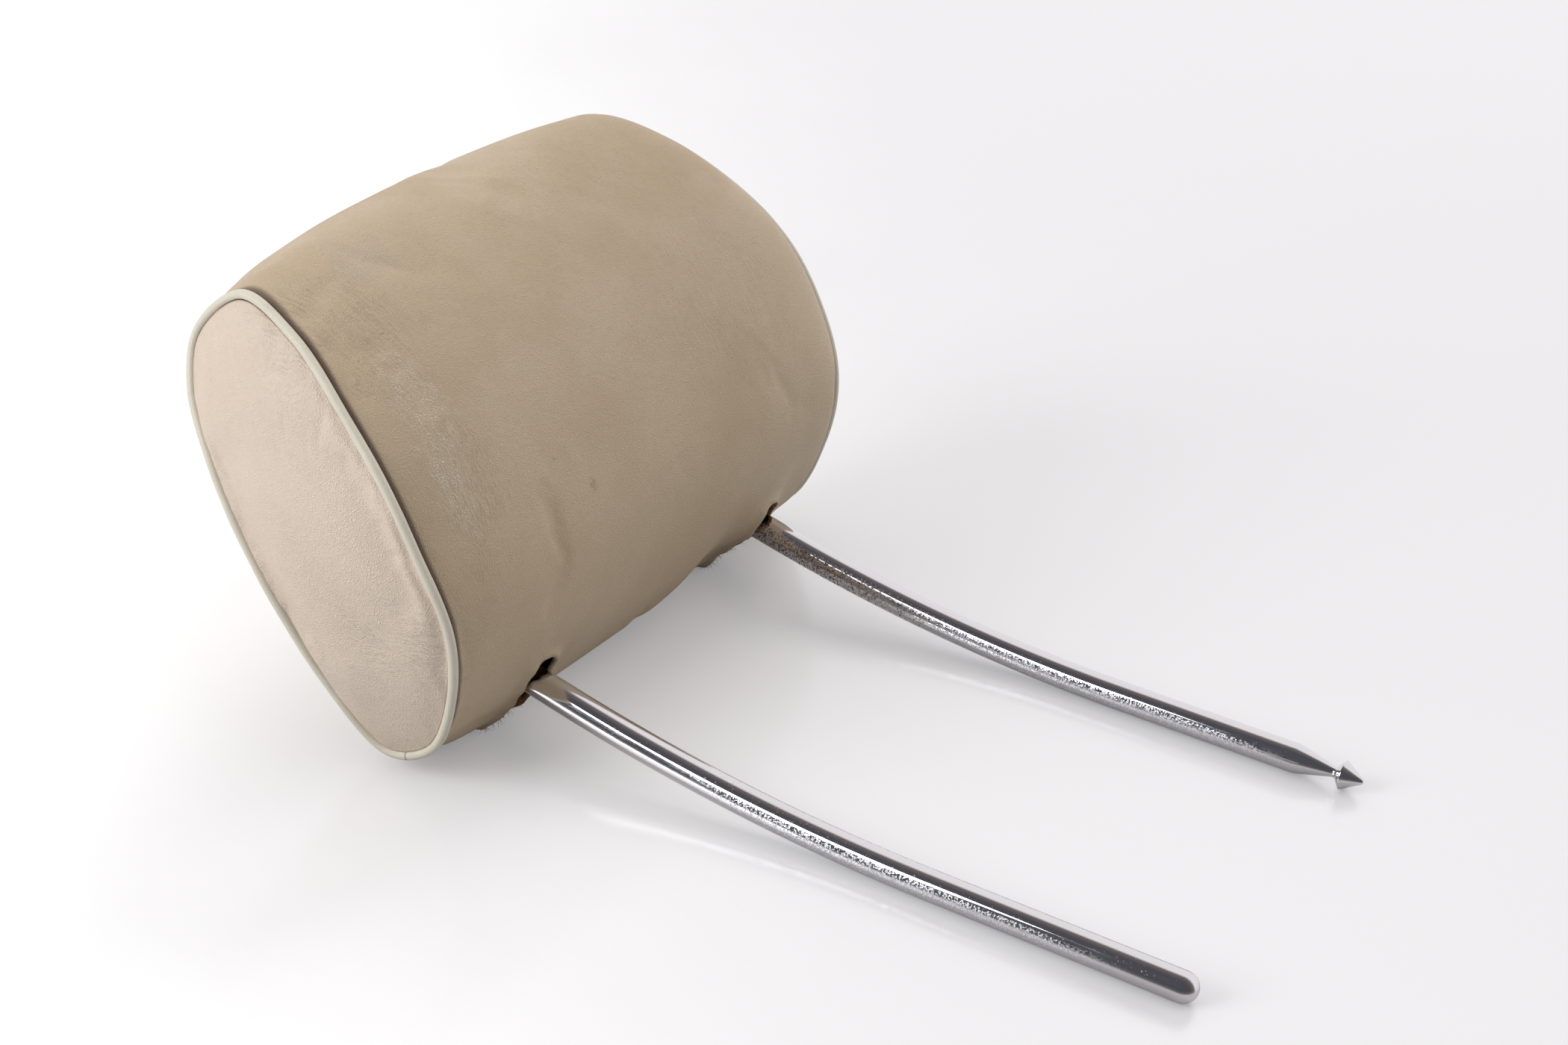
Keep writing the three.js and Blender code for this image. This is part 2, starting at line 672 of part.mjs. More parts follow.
const cushion = new THREE.Group();
cushion.position.set(0, crossBarY, crossBarZ);
cushion.rotation.x = -cushionLean;
cushion.add(named('cover_band', buildBand(), bandLeather));
for (const [name, side] of [['left', -1], ['right', 1]]) {
  cushion.add(named(`end_panel_${name}`, buildEndPanel(side), panelLeather));
  cushion.add(named(`piping_${name}`, buildPiping(side), pipingLeather));
}
cushion.add(named('foam_core', buildCore(), foam));
cushion.add(named('carrier_plate', buildCarrier(), blackSteel));
for (const [name, side] of [['left', -1], ['right', 1]]) {
  const x = side * clampSpacing / 2;
  cushion.add(named(`clamp_front_${name}`, buildClampHalf(x, -1), zincSteel));
  cushion.add(named(`clamp_rear_${name}`, buildClampHalf(x, 1), zincSteel));
  cushion.add(named(`friction_liner_${name}`, buildLiner(x), linerPlastic));
  for (const [level, z] of [['upper', upperScrewZ], ['lower', lowerScrewZ]]) {
    cushion.add(named(`clamp_screw_${level}_${name}`, buildScrew(x, z), zincSteel));
    cushion.add(named(`spring_washer_${level}_${name}`, buildWasher(x, z), zincSteel));
    cushion.add(named(`clamp_nut_${level}_${name}`, buildNut(x, z), zincSteel));
  }
}
headrest.add(cushion);

// The origin is the middle of the part's footprint on the table.
const whole = new THREE.Group();
headrest.updateMatrixWorld(true);
const footprint = new THREE.Box3().setFromObject(headrest, true);
headrest.position.y = -(footprint.min.y + footprint.max.y) / 2;
whole.add(headrest);

export default whole;
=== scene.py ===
import json
import math
import random

import bmesh
import bpy
import numpy as np
from mathutils import Matrix, Vector
from mathutils import noise as organic


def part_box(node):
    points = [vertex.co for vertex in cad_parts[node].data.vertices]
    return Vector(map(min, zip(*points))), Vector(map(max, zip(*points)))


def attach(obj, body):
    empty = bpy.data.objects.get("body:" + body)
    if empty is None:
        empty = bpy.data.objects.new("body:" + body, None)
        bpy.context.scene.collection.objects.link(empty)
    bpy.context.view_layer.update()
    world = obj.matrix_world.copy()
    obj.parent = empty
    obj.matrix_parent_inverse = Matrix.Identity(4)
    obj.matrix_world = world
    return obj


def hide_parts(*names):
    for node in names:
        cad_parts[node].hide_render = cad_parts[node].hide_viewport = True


# A car headrest lying on a white table. Metres, in the frame of the loaded solids:
# the posts point to -Y, left is -X, and the table is z = 0.
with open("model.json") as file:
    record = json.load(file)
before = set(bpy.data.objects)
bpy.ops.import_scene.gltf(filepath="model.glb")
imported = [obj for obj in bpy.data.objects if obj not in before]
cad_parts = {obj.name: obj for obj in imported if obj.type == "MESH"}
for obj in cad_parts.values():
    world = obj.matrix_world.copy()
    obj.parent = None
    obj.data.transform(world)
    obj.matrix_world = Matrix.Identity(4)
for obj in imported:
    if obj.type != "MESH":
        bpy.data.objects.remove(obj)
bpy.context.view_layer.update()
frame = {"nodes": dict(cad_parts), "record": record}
scene = bpy.context.scene
print("frame loaded")

# Forms shared with the solids
cushionForm = {
    "lean": math.radians(25.3),
    "pipingLine": [
        (0.011, 0.157), (-0.015, 0.139), (-0.033, 0.114), (-0.046, 0.085), (-0.051, 0.055),
        (-0.050, 0.023), (-0.036, -0.004), (-0.012, -0.0255), (0.010, -0.024), (0.022, 0.009),
        (0.027, 0.040), (0.032, 0.071), (0.037, 0.102), (0.041, 0.130), (0.035, 0.148),
    ],
    "halfWidths": [
        (-0.060, 0.128), (-0.030, 0.1315), (0.010, 0.1382), (0.055, 0.1428),
        (0.100, 0.1395), (0.140, 0.127), (0.175, 0.111),
    ],
    "crowns": [
        (0, 0.011), (30, 0.016), (60, 0.014), (90, 0.0105), (120, 0.006), (150, 0.003),
        (180, 0.007), (210, 0.0115), (240, 0.010), (270, 0.0095), (330, 0.0105), (360, 0.011),
    ],
    "crownPower": 6.5,
    "leather": 0.0018,
    "seamInset": 0.0024,
}
barForm = {
    "radius": 0.006,
    "spacing": 0.163,
    "tipStraight": 0.100,
    "curveRadius": 0.760,
    "rise": math.radians(12.7),
    "innerStraight": 0.045,
    "bendRadius": 0.020,
}
crossBar = Vector(frame["record"]["behaviour"]["joints"][0]["pos_m"])


def toRow(x, y, z):
    # from the cushion's own axes to the row frame
    lean = cushionForm["lean"]
    return Vector((
        x,
        crossBar.y + y * math.cos(lean) + z * math.sin(lean),
        crossBar.z - y * math.sin(lean) + z * math.cos(lean),
    ))


def toCushion(point):
    lean = cushionForm["lean"]
    y, z = point.y - crossBar.y, point.z - crossBar.z
    return Vector((point.x, y * math.cos(lean) - z * math.sin(lean), y * math.sin(lean) + z * math.cos(lean)))


def aroundBar(local):
    # direction and distance of a point from the cross bar, in the cushion's Y and Z
    return math.atan2(local.z, local.y) % (2 * math.pi), math.hypot(local.y, local.z)


def blend(start, startSlope, end, endSlope, t):
    return (
        start * (2 * t ** 3 - 3 * t ** 2 + 1) + startSlope * (t ** 3 - 2 * t ** 2 + t)
        + end * (3 * t ** 2 - 2 * t ** 3) + endSlope * (t ** 3 - t ** 2)
    )


def smoothValue(pairs, at):
    # smooth curve through pairs of place and value
    places = [pair[0] for pair in pairs]
    values = [pair[1] for pair in pairs]
    at = min(max(at, places[0]), places[-1])
    i = max(k for k in range(len(places) - 1) if places[k] <= at)

    def slope(k):
        low, high = max(k - 1, 0), min(k + 1, len(places) - 1)
        return (values[high] - values[low]) / (places[high] - places[low])
    step = places[i + 1] - places[i]
    return blend(values[i], slope(i) * step, values[i + 1], slope(i + 1) * step, (at - places[i]) / step)


def halfWidthAt(z):
    return smoothValue(cushionForm["halfWidths"], z)


def closedCurve(corners, count):
    # centripetal curve through corners: count points, evenly spaced, each with its outward normal
    fine = []
    total = len(corners)
    for i in range(total):
        p0, p1, p2, p3 = (np.array(corners[(i + k - 1) % total]) for k in range(4))
        d0, d1, d2 = (max(np.linalg.norm(b - a) ** 0.5, 1e-6) for a, b in ((p0, p1), (p1, p2), (p2, p3)))
        m1 = ((p1 - p0) / d0 - (p2 - p0) / (d0 + d1) + (p2 - p1) / d1) * d1
        m2 = ((p2 - p1) / d1 - (p3 - p1) / (d1 + d2) + (p3 - p2) / d2) * d1
        fine += [blend(p1, m1, p2, m2, t) for t in np.linspace(0, 1, 60, endpoint=False)]
    fine = np.array(fine)
    loop = np.vstack([fine, fine[:1]])
    run = np.concatenate([[0], np.cumsum(np.linalg.norm(np.diff(loop, axis=0), axis=1))])
    marks = np.linspace(0, run[-1], count, endpoint=False)
    places = np.column_stack([np.interp(marks, run, loop[:, k]) for k in range(2)])
    along = np.roll(places, -1, 0) - np.roll(places, 1, 0)
    along /= np.linalg.norm(along, axis=1)[:, None]
    normals = np.column_stack([-along[:, 1], along[:, 0]])
    if ((places - places.mean(0)) * normals).sum() < 0:
        normals = -normals
    return places, normals


def crownOf(normal):
    facing = math.degrees(math.atan2(-normal[0], normal[1])) % 360
    return smoothValue(cushionForm["crowns"], facing)


def newMesh(name, points, faces, smooth=True):
    mesh = bpy.data.meshes.new(name)
    mesh.from_pydata([tuple(point) for point in points], [], faces)
    mesh.validate()
    mesh.update()
    made = bpy.data.objects.new(name, mesh)
    scene.collection.objects.link(made)
    for face in mesh.polygons:
        face.use_smooth = smooth
    return made


def ringFaces(rings, around):
    # faces between closed rings of points, one ring after the other
    faces = []
    for ring in range(rings - 1):
        here, there = ring * around, (ring + 1) * around
        for k in range(around):
            j = (k + 1) % around
            faces.append((here + k, here + j, there + j, there + k))
    return faces


def outwards(made):
    # turns the faces so that they point out
    work = bmesh.new()
    work.from_mesh(made.data)
    bmesh.ops.recalc_face_normals(work, faces=work.faces)
    work.to_mesh(made.data)
    work.free()
    return made


def applyModifiers(made):
    evaluated = made.evaluated_get(bpy.context.evaluated_depsgraph_get())
    mesh = bpy.data.meshes.new_from_object(evaluated)
    made.modifiers.clear()
    made.data = mesh
    for face in mesh.polygons:
        face.use_smooth = True
    return made


# Shader nodes

def addNode(tree, kind, settings=None, inputs=None):
    made = tree.nodes.new(kind)
    for name, value in (settings or {}).items():
        setattr(made, name, value)
    setInputs(tree, made, inputs)
    return made


def useGroup(tree, group, inputs=None):
    made = tree.nodes.new("ShaderNodeGroup")
    made.node_tree = group
    setInputs(tree, made, inputs)
    return made


def setInputs(tree, made, inputs):
    for name, value in (inputs or {}).items():
        if isinstance(value, bpy.types.NodeSocket):
            tree.links.new(value, made.inputs[name])
        else:
            made.inputs[name].default_value = value


def maths(tree, operation, a, b=0.0, clamp=False):
    made = addNode(tree, "ShaderNodeMath", {"operation": operation, "use_clamp": clamp}, {0: a, 1: b})
    return made.outputs[0]


def times(tree, first, *others):
    for other in others:
        first = maths(tree, "MULTIPLY", first, other)
    return first


def plus(tree, a, b):
    return maths(tree, "ADD", a, b)


def minus(tree, a, b):
    return maths(tree, "SUBTRACT", a, b)


def vectors(tree, operation, *inputs):
    # a vector sum or product; lengths and dot products come out as a plain value
    made = addNode(tree, "ShaderNodeVectorMath", {"operation": operation}, dict(enumerate(inputs)))
    return made.outputs["Value" if operation in ("DOT_PRODUCT", "LENGTH") else 0]


def mapped(tree, value, low, high, start=0.0, end=1.0, smooth=True):
    kind = {"interpolation_type": "SMOOTHSTEP" if smooth else "LINEAR"}
    made = addNode(tree, "ShaderNodeMapRange", kind, {
        "Value": value, "From Min": low, "From Max": high, "To Min": start, "To Max": end,
    })
    return made.outputs["Result"]


def objectPlace(tree):
    return addNode(tree, "ShaderNodeTexCoord").outputs["Object"]


def noiseTexture(tree, place, scale, detail, roughness=0.5):
    return addNode(tree, "ShaderNodeTexNoise", None, {
        "Vector": place, "Scale": scale, "Detail": detail, "Roughness": roughness,
    })


def bentPlace(tree, place, scale, detail, reach):
    # a place shifted by noise, so that a pattern on it bends
    bend = noiseTexture(tree, place, scale, detail)
    return vectors(tree, "MULTIPLY_ADD", bend.outputs["Color"], (reach, reach, reach), place)


def mixColour(tree, factor, a, b):
    made = addNode(tree, "ShaderNodeMix", {"data_type": "RGBA"}, {0: factor, 6: a, 7: b})
    return made.outputs[2]


def newGroup(name, inputs, outputs):
    tree = bpy.data.node_groups.new(name, "ShaderNodeTree")
    for label, kind, value in inputs:
        socket = tree.interface.new_socket(name=label, in_out="INPUT", socket_type=f"NodeSocket{kind}")
        socket.default_value = value
    for label in outputs:
        tree.interface.new_socket(name=label, in_out="OUTPUT", socket_type="NodeSocketFloat")
    return tree, tree.nodes.new("NodeGroupInput").outputs, tree.nodes.new("NodeGroupOutput").inputs


def makePebbleGroup():
    # leather pebbles: small rounded cells with pores between, broken up by finer cells
    tree, given, result = newGroup(
        "leatherPebbles",
        [("Pebbles per metre", "Float", 900.0), ("Unevenness", "Float", 0.35)],
        ["Height", "Creases"],
    )
    bent = bentPlace(tree, objectPlace(tree), 420.0, 2.0, 0.0011)
    cells = addNode(tree, "ShaderNodeTexVoronoi", {"feature": "DISTANCE_TO_EDGE"}, {
        "Vector": bent, "Scale": given["Pebbles per metre"],
    })
    small = times(tree, given["Pebbles per metre"], 2.3)
    fine = addNode(tree, "ShaderNodeTexVoronoi", {"feature": "SMOOTH_F1"}, {"Vector": bent, "Scale": small})
    edge = mapped(tree, cells.outputs["Distance"], 0.0, 0.50)
    uneven = times(tree, fine.outputs["Distance"], given["Unevenness"])
    tree.links.new(minus(tree, edge, uneven), result["Height"])
    tree.links.new(minus(tree, 1.0, edge), result["Creases"])
    return tree


def makeCloudGroup():
    # soft patches of two sizes, for stains, handling and fading
    tree, given, result = newGroup(
        "handledPatches",
        [("Patches per metre", "Float", 14.0), ("From", "Float", 0.4), ("To", "Float", 0.7)],
        ["Mask"],
    )
    cloud = noiseTexture(tree, objectPlace(tree), given["Patches per metre"], 5.0, 0.6)
    tree.links.new(mapped(tree, cloud.outputs["Fac"], given["From"], given["To"]), result["Mask"])
    return tree


def makeSpotGroup():
    # a worn or dirty place, a creased place, or a rubbed place with painted sheen: an ellipsoid with a ragged
    # edge, at a place on the part
    tree, given, result = newGroup(
        "wornDirtyOrPaintedSheenPlace",
        [("Place", "Vector", (0, 0, 0)), ("Size", "Vector", (0.01, 0.01, 0.01)),
         ("Raggedness", "Float", 0.5), ("Grain", "Float", 300.0)],
        ["Mask"],
    )
    place = objectPlace(tree)
    offset = vectors(tree, "SUBTRACT", place, given["Place"])
    far = vectors(tree, "LENGTH", vectors(tree, "DIVIDE", offset, given["Size"]))
    rag = noiseTexture(tree, place, given["Grain"], 4.0)
    shift = times(tree, minus(tree, rag.outputs["Fac"], 0.5), given["Raggedness"], 4.0)
    edge = mapped(tree, plus(tree, far, shift), 0.35, 1.0)
    tree.links.new(minus(tree, 1.0, edge), result["Mask"])
    return tree


def makeLineGroup():
    # fine creases that run one way: noise stretched along them, kept to its thin ridges
    tree, given, result = newGroup(
        "fineCreases",
        [("Stretch", "Vector", (800, 60, 60)), ("Width", "Float", 0.05)],
        ["Mask"],
    )
    bent = bentPlace(tree, objectPlace(tree), 70.0, 3.0, 0.006)
    grain = noiseTexture(tree, vectors(tree, "MULTIPLY", bent, given["Stretch"]), 1.0, 2.0)
    off = maths(tree, "ABSOLUTE", minus(tree, grain.outputs["Fac"], 0.5))
    tree.links.new(mapped(tree, off, 0.0, given["Width"], 1.0, 0.0), result["Mask"])
    return tree


def makePitGroup():
    # corrosion pits in plating
    tree, given, result = newGroup(
        "platingPits",
        [("Pits per metre", "Float", 900.0), ("Amount", "Float", 0.2)],
        ["Mask"],
    )
    pits = noiseTexture(tree, objectPlace(tree), given["Pits per metre"], 6.0, 0.75)
    level = minus(tree, 0.78, times(tree, given["Amount"], 0.42))
    over = minus(tree, pits.outputs["Fac"], level)
    tree.links.new(mapped(tree, over, 0.0, 0.05), result["Mask"])
    return tree


pebbleGroup = makePebbleGroup()
cloudGroup = makeCloudGroup()
spotGroup = makeSpotGroup()
pitGroup = makePitGroup()
lineGroup = makeLineGroup()


def cloudMask(tree, perMetre, low, high):
    return useGroup(tree, cloudGroup, {
        "Patches per metre": perMetre, "From": low, "To": high,
    }).outputs["Mask"]


def spotMask(tree, place, size, raggedness, grain):
    return useGroup(tree, spotGroup, {
        "Place": place, "Size": size, "Raggedness": raggedness, "Grain": grain,
    }).outputs["Mask"]


def pitMask(tree, perMetre, amount):
    return useGroup(tree, pitGroup, {"Pits per metre": perMetre, "Amount": amount}).outputs["Mask"]


def newMaterial(name):
    material = bpy.data.materials.new(name)
    material.use_nodes = True
    return material, material.node_tree, material.node_tree.nodes["Principled BSDF"]


def bumpNormal(tree, height, strength, distance):
    return addNode(tree, "ShaderNodeBump", None, {
        "Height": height, "Strength": strength, "Distance": distance,
    }).outputs["Normal"]


def linear(*levels):
    # a colour as an eight-bit screen shows it, made linear
    return tuple(((c / 255 + 0.055) / 1.055) ** 2.4 if c > 10 else c / 255 / 12.92 for c in levels) + (1.0,)


leatherLook = {
    "band": linear(188, 168, 141),
    "bandShade": linear(175, 154, 127),
    "panel": linear(216, 200, 184),
    "panelShade": linear(202, 185, 168),
    "piping": linear(214, 209, 194),
    "pipingShade": linear(198, 192, 176),
    "crease": linear(140, 122, 101),
    "smudge": linear(150, 145, 138),
    "stain": linear(92, 66, 44),
    # painted shade: the dark line on the band beside each piping
    "paintedSeamShade": linear(84, 62, 52),
    # painted sheen: paler on the pebbles' tops in the rubbed places
    "wornShineAndPaintedSheen": linear(218, 208, 196),
    "pebbles": 1000.0,                 # a metre
    "pebbleDepth": 0.00030,
    "pipingPebbleDepth": 0.00004,
    "bump": 0.6,
    "roughness": (0.42, 0.62),
    "wornRoughness": 0.30,
    "specular": 0.58,
    # how strong each colour is in its places
    "shadeShare": 0.35,
    "poreShare": 0.12,
    "speckShare": 0.10,
    "creaseShare": 0.05,
    "creaseHeight": 1.3,               # of a pebble's height
    "paintedSheenShare": 0.60,
    "paintedSeamShadeShare": 0.8,
    "paintedSeamShadeReach": (0.0008, 0.0024),
}

# Worn and dirty places: place and size in metres, and how strong
smudges = {
    "top corner": ((-0.084, 0.156, 0.182), (0.020, 0.022, 0.016), 0.16),
    "end panel foot": ((-0.143, 0.113, 0.039), (0.016, 0.020, 0.018), 0.14),
}
stains = {
    "brown drop": ((-0.0513, 0.0689, 0.1018), (0.0032, 0.0032, 0.0032), 0.28),
    "dark speck": ((-0.0679, 0.0768, 0.1166), (0.0011, 0.0011, 0.0011), 0.8),
}
# Rubbed places, shinier and with a painted sheen: place and size in metres
glossPatches = [
    ((-0.112, 0.106, 0.150), (0.012, 0.022, 0.020)),
    ((-0.116, 0.093, 0.134), (0.011, 0.018, 0.020)),
    ((-0.119, 0.082, 0.117), (0.010, 0.014, 0.018)),
]
# Creased places: place and size in metres, stretch of the creases, depth
creasedPlaces = {
    "left shoulder": ((-0.112, 0.136, 0.166), (0.024, 0.055, 0.040), (900, 60, 60), 1.3),
    "left shoulder low": ((-0.118, 0.090, 0.120), (0.024, 0.040, 0.040), (700, 90, 90), 0.8),
    "panel front edge": ((-0.146, 0.086, 0.066), (0.030, 0.030, 0.022), (60, 90, 800), 1.0),
    "right middle": ((0.070, 0.090, 0.130), (0.060, 0.060, 0.050), (500, 60, 60), 0.45),
    "top right": ((0.060, 0.150, 0.180), (0.080, 0.060, 0.040), (420, 80, 80), 0.4),
}


def edgeDistance(tree):
    # how far a point of the band lies from the band's edge, across the cushion
    place = objectPlace(tree)
    lean = cushionForm["lean"]
    level = vectors(tree, "DOT_PRODUCT", place, (0.0, math.sin(lean), math.cos(lean)))
    level = minus(tree, level, crossBar.y * math.sin(lean) + crossBar.z * math.cos(lean))
    low, high = cushionForm["halfWidths"][0][0], cushionForm["halfWidths"][-1][0]
    share = mapped(tree, level, low, high, smooth=False)
    curve = addNode(tree, "ShaderNodeFloatCurve", None, {"Value": share})
    points = curve.mapping.curves[0].points
    scale = 0.2                        # keeps the half widths on the curve under 1
    steps = 20
    points[0].location = (0.0, halfWidthAt(low) / scale)
    points[-1].location = (1.0, halfWidthAt(high) / scale)
    for k in range(1, steps):
        points.new(k / steps, halfWidthAt(low + (high - low) * k / steps) / scale)
    curve.mapping.update()
    wide = times(tree, curve.outputs["Value"], scale)
    parts = addNode(tree, "ShaderNodeSeparateXYZ", None, {0: place})
    across = maths(tree, "ABSOLUTE", parts.outputs["X"])
    return minus(tree, minus(tree, wide, cushionForm["seamInset"]), across)


def leatherMaterial(name, pebbleDepth):
    # name is piping, panel or band; the band also has painted shade beside its seams, and its rubbed places,
    # shinier and with a painted sheen
    look = leatherLook
    material, tree, shader = newMaterial(f"{name}Leather")
    pebbles = useGroup(tree, pebbleGroup, {"Pebbles per metre": look["pebbles"]}).outputs
    patches = cloudMask(tree, 16.0, 0.38, 0.66)
    specks = cloudMask(tree, 160.0, 0.55, 0.75)
    height = pebbles["Height"]
    colour = mixColour(tree, times(tree, patches, look["shadeShare"]), look[name], look[f"{name}Shade"])
    colour = mixColour(tree, times(tree, pebbles["Creases"], look["poreShare"]), colour, look["crease"])
    colour = mixColour(tree, times(tree, specks, look["speckShare"]), colour, look["crease"])
    for place, size, strength in smudges.values():
        spot = spotMask(tree, place, size, 0.6, 90.0)
        colour = mixColour(tree, times(tree, spot, strength), colour, look["smudge"])
    for place, size, strength in stains.values():
        spot = spotMask(tree, place, size, 0.5, 500.0)
        colour = mixColour(tree, times(tree, spot, strength), colour, look["stain"])
    for place, size, stretch, depth in creasedPlaces.values():
        lines = useGroup(tree, lineGroup, {"Stretch": stretch}).outputs["Mask"]
        deep = times(tree, lines, spotMask(tree, place, size, 0.5, 60.0))
        height = minus(tree, height, times(tree, deep, depth * look["creaseHeight"]))
        colour = mixColour(tree, times(tree, deep, depth * look["creaseShare"]), colour, look["crease"])
    rough = mapped(tree, patches, 0.0, 1.0, *look["roughness"], smooth=False)
    if name == "band":
        # painted shade: the band darkens toward its edge beside each piping
        paintedSeamShade = mapped(tree, edgeDistance(tree), *look["paintedSeamShadeReach"], look["paintedSeamShadeShare"], 0.0)
        colour = mixColour(tree, paintedSeamShade, colour, look["paintedSeamShade"])
        # rubbed places: shinier, and with a painted sheen, paler on top of the pebbles
        for place, size in glossPatches:
            spot = spotMask(tree, place, size, 0.5, 160.0)
            wornShineAndPaintedSheen = addNode(tree, "ShaderNodeMix", None, {0: spot, 2: rough, 3: look["wornRoughness"]})
            rough = wornShineAndPaintedSheen.outputs[0]
            top = minus(tree, look["paintedSheenShare"], times(tree, pebbles["Creases"], look["paintedSheenShare"]))
            colour = mixColour(tree, maths(tree, "MULTIPLY", top, spot, clamp=True), colour, look["wornShineAndPaintedSheen"])
    setInputs(tree, shader, {
        "Base Color": colour, "Roughness": rough, "Specular IOR Level": look["specular"],
        "Normal": bumpNormal(tree, height, look["bump"], pebbleDepth),
    })
    return material


chromeLook = {
    "plate": linear(226, 224, 226),
    "pit": linear(104, 88, 76),
    "rust": linear(176, 98, 40),
    "haze": linear(196, 208, 226),
    "lowLeft": (-0.72, -0.30, -0.62),  # the rod's lower left side
    "pits": 1000.0,                    # a metre
    "roughness": 0.045,
    "film": 0.05,
}


def chromeMaterial():
    look = chromeLook
    material, tree, shader = newMaterial("pittedChrome")
    parts = addNode(tree, "ShaderNodeSeparateXYZ", None, {0: objectPlace(tree)}).outputs
    along = parts["Y"]
    right = mapped(tree, parts["X"], 0.0, 0.02)
    left = minus(tree, 1.0, right)
    # heavy pitting low on the right post, from the cushion to about its middle
    nearCushion = mapped(tree, along, -0.14, 0.05)
    # how far round the rod: -1 on its upper right, 1 on its lower left
    normal = addNode(tree, "ShaderNodeNewGeometry").outputs["Normal"]
    facing = vectors(tree, "DOT_PRODUCT", normal, look["lowLeft"])
    underneath = mapped(tree, facing, -0.35, 0.25)
    amount = times(tree, right, plus(tree, times(tree, nearCushion, 0.62), 0.05), underneath)
    middle = spotMask(tree, (-0.0815, -0.030, 0.010), (0.02, 0.070, 0.02), 0.4, 60.0)
    leftAmount = times(tree, left, middle, 0.30)
    pits = pitMask(tree, look["pits"], plus(tree, amount, leftAmount))
    rust = times(tree, cloudMask(tree, 1500.0, 0.66, 0.72), plus(tree, leftAmount, 0.15))
    colour = mixColour(tree, pits, look["plate"], look["pit"])
    colour = mixColour(tree, rust, colour, look["rust"])
    # hazy bluish specks toward the posts' ends
    hazy = times(
        tree, cloudMask(tree, 1100.0, 0.50, 0.62),
        mapped(tree, facing, 0.25, 0.55), mapped(tree, facing, 1.05, 0.80),
        mapped(tree, along, -0.20, -0.13), mapped(tree, along, 0.02, -0.06),
    )
    colour = mixColour(tree, times(tree, hazy, 0.8), colour, look["haze"])
    dull = maths(tree, "MAXIMUM", maths(tree, "MAXIMUM", pits, rust), times(tree, hazy, 0.7))
    film = cloudMask(tree, 60.0, 0.35, 0.8)
    rough = plus(tree, look["roughness"], times(tree, film, look["film"]))
    setInputs(tree, shader, {
        "Base Color": colour,
        "Metallic": minus(tree, 1.0, times(tree, dull, 0.85)),
        "Roughness": plus(tree, rough, times(tree, dull, 0.5)),
        "Normal": bumpNormal(tree, minus(tree, 1.0, dull), 0.5, 0.00012),
    })
    return material


def hardMaterial(name, colour, roughness, metallic):
    # the inner pieces: plate, paint or plastic with a thin film and small specks
    material, tree, shader = newMaterial(name)
    film = cloudMask(tree, 80.0, 0.3, 0.75)
    dark = tuple(c * 0.6 for c in colour[:3]) + (1.0,)
    shade = mixColour(tree, times(tree, film, 0.5), colour, dark)
    setInputs(tree, shader, {
        "Base Color": mixColour(tree, pitMask(tree, 900.0, 0.12), shade, dark),
        "Metallic": metallic,
        "Roughness": plus(tree, roughness, times(tree, film, 0.15)),
        "Normal": bumpNormal(tree, film, 0.2, 0.0001),
    })
    return material


def foamMaterial():
    material, tree, shader = newMaterial("openFoam")
    cells = addNode(tree, "ShaderNodeTexVoronoi", {"feature": "F1"}, {
        "Vector": objectPlace(tree), "Scale": 1100.0,
    })
    pores = mapped(tree, cells.outputs["Distance"], 0.1, 0.5)
    setInputs(tree, shader, {
        "Base Color": mixColour(tree, pores, linear(168, 148, 92), linear(224, 208, 150)),
        "Roughness": 0.95, "Normal": bumpNormal(tree, pores, 0.8, 0.0004),
    })
    return material


def suedeMaterial():
    # the leather's raw, fuzzy inner side
    material, tree, shader = newMaterial("rawSuede")
    fuzz = cloudMask(tree, 900.0, 0.3, 0.7)
    colour = mixColour(tree, cloudMask(tree, 120.0, 0.4, 0.62), linear(96, 62, 40), linear(168, 116, 74))
    setInputs(tree, shader, {
        "Base Color": mixColour(tree, times(tree, fuzz, 0.4), colour, linear(196, 160, 122)),
        "Roughness": 0.92, "Normal": bumpNormal(tree, fuzz, 0.9, 0.0005),
    })
    return material


def fibreMaterial():
    material, tree, shader = newMaterial("tornFibres")
    colour = mixColour(tree, cloudMask(tree, 260.0, 0.35, 0.65), linear(120, 76, 46), linear(196, 146, 98))
    setInputs(tree, shader, {"Base Color": colour, "Roughness": 0.9})
    return material


bandLeather = leatherMaterial("band", leatherLook["pebbleDepth"])
panelLeather = leatherMaterial("panel", leatherLook["pebbleDepth"])
pipingLeather = leatherMaterial("piping", leatherLook["pipingPebbleDepth"])
chrome = chromeMaterial()
zinc = hardMaterial("zincPlate", linear(176, 172, 160), 0.34, 1.0)
blackPaint = hardMaterial("blackPaint", linear(40, 40, 42), 0.5, 0.0)
nylon = hardMaterial("nylonLiner", linear(226, 220, 204), 0.45, 0.0)
foam = foamMaterial()
suede = suedeMaterial()
fibreBrown = fibreMaterial()
print("materials made")


# Camera and stage

cameraPlace = {
    "azimuth": math.radians(-60.999),
    "elevation": math.radians(28.286),
    "roll": math.radians(4.424),
    # from the middle plane, level with the ball's centre
    "fromBallEnd": Vector((-0.825546, -0.239739, 0.583781)),
    "lens": 62.72,
    "sensorWidth": 36,
}


